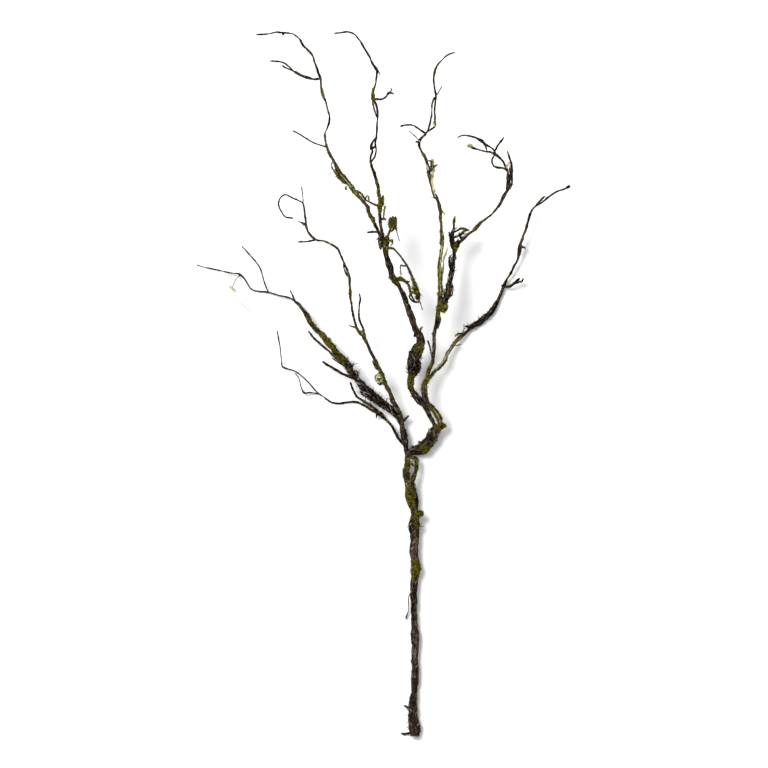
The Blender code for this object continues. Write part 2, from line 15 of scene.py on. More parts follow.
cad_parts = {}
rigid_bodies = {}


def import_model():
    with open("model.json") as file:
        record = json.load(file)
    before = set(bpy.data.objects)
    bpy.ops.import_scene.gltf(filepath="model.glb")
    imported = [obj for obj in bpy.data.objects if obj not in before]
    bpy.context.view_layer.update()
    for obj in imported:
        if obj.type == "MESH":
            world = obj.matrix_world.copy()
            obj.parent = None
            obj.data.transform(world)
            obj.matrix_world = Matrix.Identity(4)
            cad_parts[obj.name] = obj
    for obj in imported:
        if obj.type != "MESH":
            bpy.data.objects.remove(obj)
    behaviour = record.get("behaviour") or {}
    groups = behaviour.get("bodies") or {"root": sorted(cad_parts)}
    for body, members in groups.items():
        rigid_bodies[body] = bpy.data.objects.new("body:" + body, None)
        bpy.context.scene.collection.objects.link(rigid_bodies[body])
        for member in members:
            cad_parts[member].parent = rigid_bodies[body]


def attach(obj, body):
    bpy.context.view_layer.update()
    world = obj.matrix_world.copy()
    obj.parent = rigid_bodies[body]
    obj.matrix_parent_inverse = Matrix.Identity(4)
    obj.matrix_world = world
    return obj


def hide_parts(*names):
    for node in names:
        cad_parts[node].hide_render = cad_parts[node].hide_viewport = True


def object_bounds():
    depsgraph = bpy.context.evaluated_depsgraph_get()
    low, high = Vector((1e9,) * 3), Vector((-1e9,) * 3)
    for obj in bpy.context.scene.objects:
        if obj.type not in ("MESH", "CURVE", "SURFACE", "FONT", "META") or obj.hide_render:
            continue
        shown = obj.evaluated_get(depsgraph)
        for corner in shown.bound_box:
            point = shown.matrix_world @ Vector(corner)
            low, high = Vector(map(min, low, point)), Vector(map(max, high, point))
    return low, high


bl_info = {
    "name": "Mossy Branch",
    "version": (1, 0, 0),
    "blender": (4, 5, 0),
    "location": "View3D > Sidebar > Branch",
    "description": "Bark, moss, lichen and fibres of a twisted branch",
    "category": "Object",
}

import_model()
CAD_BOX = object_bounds()

MM = 0.001
SEED = 11

# Every limb: its name, its kind of bark, and its route as (x, y, z, thickness) in millimetres.
# The stem and the two strands that twist round each other above it.
TRUNK = (
    ("stem", "bark", (
        (42.8, -493, 7.9, 15.4), (42, -486, 7.3, 14.2), (41.2, -478, 7, 13.4), (39.9, -456, 7, 13.2),
        (41, -444, 7, 12), (42.2, -434, 7, 10.8), (42.6, -403, 7, 9.8), (43.5, -380, 7.3, 11),
        (43.3, -360, 7.4, 10.2), (42.4, -343, 7.5, 10), (42, -329, 7.7, 9.2), (42, -302, 8.2, 10.2),
        (42, -290, 8.6, 10.6), (42.4, -277, 9, 11.6), (44, -266, 9.6, 13.4), (44.9, -259, 10, 15.4),
        (43.4, -249, 10.2, 13.4), (41.8, -239, 10.4, 13), (42.2, -228, 10.8, 13.4),
        (43.1, -218, 11.2, 14.8), (42.6, -207, 11.5, 15.6))),
    ("mossy_strand", "moss", (
        (43.8, -204.5, 12.5, 10.4), (44.9, -191, 15, 10.4), (43.4, -179, 17.5, 11.4),
        (38.6, -169, 16, 12.4), (34.8, -158, 13, 12.5), (34.6, -147, 10, 11.4), (32.4, -137, 9, 11),
        (31.3, -127, 11, 10.4), (32.4, -117, 12.5, 11), (33, -106, 13.5, 11.4), (33.5, -97, 13.5, 9))),
    ("dark_strand", "dark", (
        (41.5, -204, 9.5, 9), (40.5, -191, 8.5, 9.5), (43.5, -179, 7.6, 9), (45, -168, 8.5, 8.5),
        (43.9, -158, 11, 8.6), (41.4, -148, 15, 9.2), (39.5, -138, 17, 9.4), (41.4, -130, 16.5, 8.2),
        (44.4, -122, 15.5, 6), (46, -113.6, 15, 6), (45.6, -106.6, 15, 6.2), (41.5, -101, 14, 6))),
    ("foot_rootlet", "twig", (
        (39, -489, 4.5, 3.6), (33, -490, 3.4, 3), (27.5, -490.6, 2.8, 4.4), (23.4, -489.4, 2.2, 3))),
    ("foot_stub", "bark", ((38, -457, 6.5, 4), (33, -453.6, 6.8, 3.2), (27.6, -450.4, 7.4, 3))),
    ("hanging_rootlet", "twig", (
        (40.5, -291, 8, 1.8), (36.5, -294, 7.5, 1.2), (34.4, -302, 6.4, 1), (34.7, -317, 4.6, 1),
        (32.7, -322, 3.8, 1.2), (30.2, -330, 3, 1.6))),
)

# The left limb and its three long arms: the low one, the tall one and the one that dips.
LEFT_LIMBS = (
    ("left_limb", "dark", (
        (32.5, -99, 13.5, 8.5), (31, -90, 13.2, 8.2), (29, -78, 12.8, 10), (26, -62, 12.2, 10),
        (24.3, -51, 12, 9))),
    ("left_stub", "bark", (
        (25.5, -53, 12.5, 4.6), (29, -49.6, 13, 4.2), (33.4, -45.4, 14.5, 4.6), (35, -44.4, 14.8, 5))),
    ("low_arm", "dark", (
        (23, -54.5, 12, 7.5), (18, -44.5, 13, 9), (11.8, -38, 15, 10.4), (3.5, -31.5, 17, 11),
        (-4.5, -25.5, 19, 12), (-12.5, -19.5, 21, 12.4), (-20.5, -12.5, 23, 11), (-28.5, -5, 25, 10.4),
        (-35.6, 3.6, 27, 9), (-41.5, 11.6, 28.5, 9), (-47.2, 17.8, 29.5, 11), (-50.7, 26.8, 30, 11.5),
        (-56.2, 33.8, 30, 8.6), (-65.2, 41.8, 28.8, 8.8), (-74.2, 52.8, 27, 9.8), (-81.5, 61.8, 25.6, 9.6),
        (-88.5, 69.8, 24, 8), (-96.5, 78.3, 22, 8), (-103.5, 86.8, 20.4, 7.6), (-107.7, 95, 18.8, 8.4),
        (-111.3, 101.4, 17.4, 6), (-119, 111, 14.8, 5), (-126, 117, 12.5, 4))),
    ("low_arm_tip", "twig", (
        (-125.4, 116.6, 12.7, 1.9), (-132, 120.5, 10.8, 2.2), (-146, 124, 7.4, 2.1), (-157, 127, 4.8, 2.2),
        (-164, 129, 3.4, 2.2), (-178.5, 130, 1.7, 1.8), (-187, 134, 1.6, 1.8), (-194.5, 146, 2.8, 1.8),
        (-203, 154, 5, 1.9), (-214, 155.6, 7.6, 1.8), (-230, 159, 10, 1.6), (-253, 164, 12, 1.6),
        (-263, 167, 12.4, 1.8))),
    ("low_arm_twig", "twig", (
        (-162, 128.6, 4, 1.6), (-166, 137, 6.4, 1.6), (-170, 150, 9.4, 1.5), (-174, 163, 12, 1.9),
        (-183, 175, 13.4, 1.6), (-199, 193, 12.4, 1.6))),
    ("low_arm_upper_side", "bark", (
        (-53, 29.5, 32, 4.6), (-59.5, 30.6, 35, 4), (-67, 36.5, 37, 4), (-77, 45.5, 38, 3.8),
        (-89, 56, 37.4, 3.6), (-100, 66, 35, 3.4), (-106, 75, 32.4, 3.4))),
    ("low_arm_lower_side", "bark", (
        (-38.5, 7.4, 27, 4.6), (-49, 10, 24, 4.2), (-57, 14, 21.6, 4.2), (-71, 22, 18.6, 4),
        (-82, 28.6, 16.6, 4), (-87, 31.4, 16, 4.8))),
    ("tall_arm", "bark", (
        (25.3, -53.5, 13.5, 5.6), (22.6, -41, 18, 5.8), (18, -31, 21, 5.6), (13.4, -22, 24, 5.6),
        (8.2, -12, 26.6, 6.2), (3.9, -2.8, 29, 6.2), (-2.1, 10.8, 32, 7), (-6.2, 19.7, 34, 6.4),
        (-10.7, 28.7, 36, 5.8), (-18.2, 43.7, 39, 5.2), (-25.2, 60.8, 42, 4.8), (-34.3, 72, 45, 4.6),
        (-41, 86, 48, 4.2), (-44.4, 105, 51, 3.8), (-47.5, 128, 54, 3.8), (-48.5, 150, 56, 3.8),
        (-54.5, 167, 57, 3.6))),
    ("tall_arm_side", "twig", (
        (-26.5, 64, 43.5, 3.4), (-29.5, 78, 49, 3.2), (-34, 89, 52, 3.2), (-35.2, 101, 54, 3),
        (-33.4, 118, 56, 2.8), (-35, 127, 57, 2.6))),
    ("tall_arm_upper", "twig", (
        (-54.2, 166, 57, 3), (-61, 181, 58, 3.4), (-65, 189, 58, 4.6), (-73.5, 195, 58, 3.4),
        (-85, 200, 57, 3.4), (-95.5, 202, 56, 4), (-104, 209.5, 55, 3.4), (-108.5, 219, 54, 3.6),
        (-109.5, 228, 53, 3.4), (-111.5, 244, 51, 2.8), (-113.7, 254, 50, 3.4))),
    ("tall_arm_spur", "twig", (
        (-95.5, 201.6, 57, 3), (-107, 199.6, 61, 2.8), (-118.4, 199, 63, 2.8), (-121, 199, 63.4, 3.6))),
    ("tall_arm_curl", "twig", (
        (-113.7, 253, 50, 2), (-118, 256, 49, 2), (-129, 261, 47, 2), (-138, 265, 46, 1.8),
        (-145, 260.5, 47, 1.8), (-147.6, 252, 49, 1.8), (-144, 242, 52, 1.8), (-138, 234, 54.4, 1.8),
        (-127, 232, 55.6, 1.8))),
    ("dipping_arm", "dark", (
        (26.5, -84, 12.5, 5), (20, -76, 12, 4.2), (12, -61, 10, 3.8), (5.5, -53, 8.6, 3.8),
        (-0.5, -47, 7.4, 5), (-6, -41.5, 6.8, 9), (-11.5, -39.4, 6, 5.6), (-18, -36.4, 5, 4),
        (-28.5, -30, 3.8, 3.4), (-39, -25.2, 2.6, 3), (-52, -25.6, 1.8, 2.8), (-65, -27.5, 1.6, 2.6))),
    ("dipping_arm_tip", "twig", (
        (-63, -27.4, 1.6, 1.8), (-74, -25.6, 1.6, 1.7), (-85, -18, 1.8, 1.6), (-95.4, -10, 2.6, 1.5),
        (-109, 5.5, 5, 1.5), (-124, 17.5, 8, 1.5), (-141, 23.3, 11, 2), (-143.5, 33, 12.4, 1.4),
        (-146, 54, 15, 1.4), (-149.6, 75, 18, 1.8))),
    ("dipping_arm_side", "twig", (
        (-7, -40, 8, 4.2), (-16, -32, 10.4, 4), (-23, -27, 11.6, 3.8), (-36.5, -19, 13, 3.6),
        (-42.5, -10, 14.4, 3.4), (-47.5, 2.5, 16, 3))),
)

# The swollen root of the right side, its pointed elbow, and the two strands that cross above it.
ELBOW = (
    ("right_root", "moss", (
        (37.5, -95, 12.6, 11), (45, -93.2, 11, 15.6), (53, -90.8, 10.4, 20), (60.8, -84, 10.2, 19),
        (66.6, -76, 12, 18), (69.8, -67.2, 14.6, 18.4), (76, -61, 17, 16), (82, -58.6, 18, 13),
        (87, -59.6, 18, 8))),
    ("front_strand", "moss", (
        (79, -58.5, 21, 8.6), (76.6, -48.6, 25, 9), (72.8, -40.4, 28.5, 9), (66.6, -33, 31, 9),
        (60.2, -25.6, 32, 9.4), (57.6, -17, 31, 10.4), (56.6, -8, 30, 10.6), (57.4, 0, 29, 10.4),
        (60.2, 7, 28.6, 9.2))),
    ("back_strand", "dark", (
        (70.5, -57, 18.5, 6.6), (66.5, -49.5, 19.6, 6.4), (62, -41.5, 20, 7), (58.4, -32.6, 20, 8.6),
        (51.6, -24.4, 20.6, 10.4), (45.2, -17.4, 22, 11), (40.4, -11, 24, 11.4), (38, -3, 25.4, 10.6))),
)

# The middle limb: one thick bough that forks in two long arms, with twigs hung with moss.
MIDDLE_LIMBS = (
    ("middle_bough", "bark", (
        (37.4, -4.5, 25.2, 10.6), (37.4, 4, 26.6, 10.6), (38.6, 12, 28, 11.4), (40.6, 20, 30, 15),
        (41.2, 30, 32, 16.6), (43, 40, 34, 17.4), (48, 50, 37, 17.2), (50.9, 57.5, 39, 13.6),
        (50.2, 66, 41.4, 11.6), (46.2, 73, 43.6, 10.6), (42.2, 82, 46, 9.4), (38.5, 92, 48, 9.6),
        (35, 102, 50, 10), (32.4, 110, 52, 9.4), (29.4, 120, 54, 8.4), (24.6, 130, 57, 7.8),
        (19, 140, 59.4, 7.4), (13.2, 147, 61, 9.6), (10, 156, 63, 9.4), (7, 167, 65, 10.2),
        (4, 176, 67, 8.4), (2, 188, 69, 8.4), (0, 198, 71, 9.4), (-2, 205, 73, 9))),
    ("left_horn", "moss", (
        (-3, 204, 73, 5.6), (-7, 211, 75, 5), (-14.2, 226, 78.6, 5.4), (-20.8, 240, 81.6, 5.6),
        (-24.5, 250.5, 83.6, 5), (-35, 261, 86, 6), (-44.6, 274, 88, 6.2), (-50, 281, 89, 6.8),
        (-57, 289, 90.4, 8.4), (-64, 298, 91, 7), (-69, 309.5, 91, 4.8), (-76, 322, 90.2, 4.6),
        (-80, 333, 89, 3.6), (-83, 346, 87.6, 2.8), (-82.5, 352, 87, 2.6))),
    ("bough_stub", "bark", ((-8, 212, 75.4, 4), (-15, 212.4, 77, 4), (-24, 212, 78, 4.6))),
    ("left_horn_upper", "twig", (
        (-82.6, 351.2, 87, 2.4), (-78, 361, 85.6, 3), (-76.3, 373.6, 84, 3.1), (-80.6, 391, 81, 3.1),
        (-86.5, 407, 78, 3.2), (-88, 418, 76, 3.1), (-88, 427, 75, 4), (-92, 436, 73, 3.5),
        (-96.6, 450, 70, 2.9), (-101, 461, 67.6, 2.8), (-112, 472.5, 63.4, 2.8), (-118, 482, 60, 2.8),
        (-127, 490, 57, 2.5), (-141, 491.6, 54, 2.8), (-150, 492.6, 52, 2.5), (-161, 490, 50, 2.5),
        (-179, 489.3, 46, 2.9))),
    ("left_horn_low_twig", "twig", (
        (-79, 331, 90, 2.5), (-89, 334, 92.6, 2.3), (-100, 338, 94, 2.3), (-114, 347, 94, 2.3),
        (-128, 354.4, 92.6, 2.1))),
    ("left_horn_high_twig", "twig", (
        (-88, 427, 76, 2.8), (-98, 426.5, 77.6, 3.5), (-107, 428.4, 78, 2.9), (-118, 431.6, 77, 3.2),
        (-127, 438, 75.6, 3), (-138, 448, 73.6, 2.9), (-147, 451, 72, 2.8), (-160, 452, 70, 2.2))),
    ("right_horn", "moss", (
        (-1.5, 204, 73, 5.4), (-3.6, 216, 76, 5), (-5, 227, 78.6, 5), (-6.2, 238, 81, 5),
        (-5.6, 247, 83, 7.4), (-4.6, 255, 84.6, 8.6), (-7, 264, 86.4, 5.4), (-8, 274, 88.4, 5),
        (-11, 287, 91, 4.8), (-15.6, 300, 92.6, 5), (-19.8, 312, 93.4, 4.8))),
    ("horn_bridge", "twig", (
        (-42, 271, 88.4, 2.4), (-33, 267, 93, 2.4), (-26, 258, 94, 2.4), (-15, 252, 92, 2.4),
        (-6, 247.5, 85, 2.4))),
    ("right_horn_left_ply", "twig", (
        (-19.4, 311, 93.4, 2.8), (-18.8, 318, 96, 2.8), (-15.8, 325, 97.4, 2.8), (-17.8, 332, 98, 4.6),
        (-15, 339.4, 98.6, 3.2), (-10.8, 346, 98.6, 2.8))),
    ("right_horn_right_ply", "twig", (
        (-18.6, 309.4, 93, 2.6), (-13.2, 317, 91.4, 2.6), (-11, 327, 91, 2.6), (-12.2, 336.6, 92.6, 2.8),
        (-9.4, 346, 95.6, 2.6))),
    ("right_horn_upper", "twig", (
        (-11, 344.5, 98, 3.1), (-9.8, 358, 99, 2.9), (-9, 377, 99, 2.9), (-10.6, 389.5, 99, 4.1),
        (-15, 397, 99, 5.5), (-15.8, 404, 99, 6), (-15, 411, 99, 4.3), (-12, 419, 98.6, 2.4),
        (-10.4, 431, 97.6, 2.4), (-10.4, 441, 96.6, 3.4), (-16, 448.6, 95, 3.1), (-21, 459, 93, 2.9),
        (-27, 469, 90.6, 2.8), (-35, 482, 87.6, 2.5), (-42, 489.4, 85, 2.5), (-51, 492.4, 82, 2.5),
        (-61, 491.4, 79.4, 2.4), (-70.5, 490.4, 77, 2.4))),
    ("right_horn_twig", "twig", (
        (-14.5, 398.4, 100, 3.5), (-4, 398, 102, 3), (2, 400.6, 103, 2.9), (7.4, 407, 104, 4.6),
        (14.5, 405, 105, 2.9))),
    ("bush_twig", "moss", (
        (0, 201, 73, 3.6), (6, 208.5, 77, 3), (9.4, 218, 80, 2.8), (12.4, 227, 83, 3), (12, 234.4, 84.6, 3))),
    ("drooping_twig", "moss", (
        (3, 189.5, 70.5, 3), (12, 190, 74, 2.6), (18, 184.6, 75.4, 2.4), (26.5, 174, 75.6, 2.6),
        (34, 162, 74, 3), (38.8, 150, 72, 4.2), (41.8, 142.4, 70.6, 5), (45.8, 131, 67, 5),
        (49.8, 115.6, 61.6, 2.4))),
    ("drooping_side_twig", "moss", (
        (15, 146.8, 61.5, 3.4), (23, 146.6, 64, 5), (29.4, 143.6, 64.6, 3), (35.2, 137, 63.6, 3),
        (38, 124, 60.6, 2.6), (44, 114.6, 57.6, 2.2))),
)

# The right limb, which stands straight up from the crossing strands, and its doubled tip.
RIGHT_LIMBS = (
    ("right_bough", "bark", (
        (59, 5, 28.6, 6.6), (63.2, 19.6, 32, 6.4), (68.2, 31, 35, 6.4), (69.6, 42, 38, 6.6),
        (70.2, 58, 42, 6.2), (70.2, 71, 45, 6.4), (73.8, 84, 48, 6.8), (76, 99, 50.4, 7.4),
        (77.8, 112, 52, 8.6), (78.8, 121, 53, 6), (78.4, 131, 54, 5.6), (77.2, 149, 56.4, 5.8),
        (76.9, 162, 58.4, 5.4), (79.4, 179, 61.4, 5), (81, 190, 63.4, 5), (81, 208, 66.4, 5.8),
        (80, 218, 68, 4.4), (79, 237, 70, 4.6), (77, 249, 71.4, 6.2), (74.6, 258.6, 72.4, 6.8))),
    ("right_bough_upper", "bark", (
        (75, 257, 72.4, 5), (70, 267, 73, 6.4), (65.8, 280.6, 74, 5.8), (63, 294, 75, 5.4),
        (60.6, 306, 75.4, 5.2), (57, 318, 75.6, 4.4), (52.2, 326, 75.4, 4), (49.2, 337.5, 75, 4),
        (53.5, 344.6, 75, 4), (59, 350.6, 75, 4.4))),
    ("left_ply", "twig", (
        (58.2, 349.4, 75.6, 2.8), (62.6, 359, 78, 2.8), (66.2, 374.5, 80, 2.8), (67.2, 390.5, 81, 2.8),
        (70.4, 401.5, 81, 2.8))),
    ("right_ply", "twig", (
        (58.6, 350.4, 74.6, 2.6), (65.4, 356.2, 73.4, 2.8), (71, 361, 72.8, 2.6), (71.6, 371, 73, 2.6),
        (70.5, 380, 73.4, 2.6), (70.8, 386, 74, 3.4), (72, 396, 76, 2.5), (72.3, 403.5, 77.6, 3.2),
        (71, 414, 78, 2.8), (69.2, 426, 77, 2.6), (70.4, 435, 76, 3), (74, 444, 74.6, 3.2),
        (80, 452.4, 73, 2.6), (90.5, 461, 71, 2.4), (99.5, 464, 70, 2.5))),
    ("right_bough_twig", "twig", (
        (58.4, 350, 76, 2.6), (48, 357, 79.6, 2.5), (41, 361.8, 81, 2.5), (33, 362.4, 82, 2.5),
        (22.7, 360.5, 83, 2.3))),
    ("dark_bough", "dark", (
        (79.5, 107.5, 51, 7.4), (85, 115.5, 49.6, 8.6), (88, 122.5, 48.6, 9.4), (89.8, 131, 48, 9.8),
        (92.4, 141, 47, 9), (94.2, 151, 46, 8.6), (95.4, 159, 45, 7), (95.8, 169, 44, 7.6),
        (97.8, 178, 43, 7.6), (98.6, 186.5, 42, 6.2))),
    ("dark_bough_upper", "moss", (
        (98.4, 184.5, 42, 5), (97.2, 194, 42, 5.6), (95.6, 203, 42, 7.2), (95.8, 211, 42.4, 5),
        (98, 221, 43, 2.4), (98, 229, 43.4, 4), (99.8, 235, 43.8, 2))),
    ("dark_bough_twig", "twig", (
        (95.8, 212, 42.8, 2.6), (102.6, 215, 44, 2.4), (109, 217.8, 45, 2.4), (120, 215, 46.4, 2.2))),
    ("curling_arm", "bark", (
        (99, 185, 42, 5.5), (102, 191.6, 41.6, 5.3), (107, 200, 42, 4.8), (116, 208.4, 43.6, 4.6),
        (125, 215, 45.6, 4.6), (130.4, 220.4, 47, 5.8), (140, 229, 49, 3.6), (150, 237, 50.8, 2.4),
        (161, 249.4, 53, 3.2), (167.4, 261, 54.4, 3.6), (172.6, 271.6, 55.6, 5.3), (173.4, 285, 57, 5),
        (173, 298.6, 58, 4.3))),
    ("curl_right_ply", "twig", (
        (173.6, 271, 56.6, 3.4), (178.2, 279, 60, 3.4), (178.9, 294, 61, 3.4), (178, 309, 59.4, 3.4),
        (172.4, 326, 55.6, 2.8))),
    ("curl_tip", "twig", (
        (173.4, 296.4, 58, 3.8), (169.4, 306.4, 58.4, 3.8), (164.4, 314.4, 58.6, 3.5),
        (155.6, 321.6, 58.6, 4.6), (149, 324.4, 58.4, 3), (138, 326.4, 57.4, 3), (126, 330, 55.6, 3.8),
        (120.6, 333, 54.8, 6.8))),
    ("curl_left_ply", "twig", (
        (173, 298, 57, 3), (166.6, 302, 54.6, 2.7), (155, 304.6, 53, 2.7), (151.2, 313, 53.4, 2.7),
        (155, 321.4, 57.6, 2.7))),
    ("curl_upper_ply", "twig", (
        (156, 321.6, 60, 3.2), (152.6, 328.8, 63, 3), (145, 334, 64.4, 3), (136, 340.4, 65.4, 4.9),
        (123, 346, 65, 3), (112, 348, 63.6, 2.8), (103, 345, 62, 2.7))),
    ("curl_spur", "twig", ((155, 325.5, 61.8, 2.6), (159.4, 334, 64.4, 2.5), (168, 345.4, 66, 2.3))),
    ("sweeping_arm", "bark", (
        (60, 4.2, 28, 5.8), (65.4, 10.3, 27, 5.4), (70.8, 17.2, 25, 5.1), (78.9, 25.1, 21.6, 5),
        (85.8, 34.4, 18.2, 5), (90.2, 45.6, 15, 5), (98.2, 55.8, 12, 5), (108.2, 65.5, 9, 4.8),
        (116.4, 74, 7, 5), (122, 79.4, 5.8, 7.4), (130.6, 84.8, 5, 9.4), (139.8, 92.2, 5, 8.6),
        (149.6, 99.8, 5, 7.2), (157, 110.2, 4.6, 5), (162, 122.4, 4.8, 5), (166.4, 133, 5.4, 5.2),
        (170.4, 142.6, 6.6, 4.6), (174, 150, 7.8, 3.8))),
    ("sweeping_arm_side", "bark", (
        (162, 121.6, 6.4, 2.6), (157.6, 116.4, 9, 2.6), (150.6, 106.4, 11.6, 2.6), (142.6, 96.8, 12.4, 2.6),
        (134.6, 90.6, 12, 2.6))),
    ("sweeping_arm_upper", "bark", (
        (173.3, 148.4, 7.6, 3.5), (181, 162, 9.4, 3.4), (187, 174, 10.8, 4.1), (189.8, 185, 12.4, 6),
        (190.6, 195, 14, 5.5), (194, 205, 15.6, 4.8), (200.6, 223, 19, 3.8), (206, 241, 22, 3.8),
        (213.4, 250, 24.4, 3.2), (221.6, 255, 26.4, 3), (232, 263, 28.6, 2.8), (242, 269.4, 30, 2.8),
        (253, 273.4, 31, 3), (259.4, 276.4, 31.4, 6.2))),
    ("sweeping_arm_twig", "twig", (
        (169.6, 136.2, 6.4, 3.6), (177, 137, 10.4, 3.1), (182, 140.8, 12.4, 3), (190, 148.6, 14.6, 2.6))),
    ("sweeping_arm_spur", "twig", (
        (212.6, 249.2, 25, 2.8), (217.4, 255.6, 28, 2.5), (226, 263.6, 31, 2.2))),
)


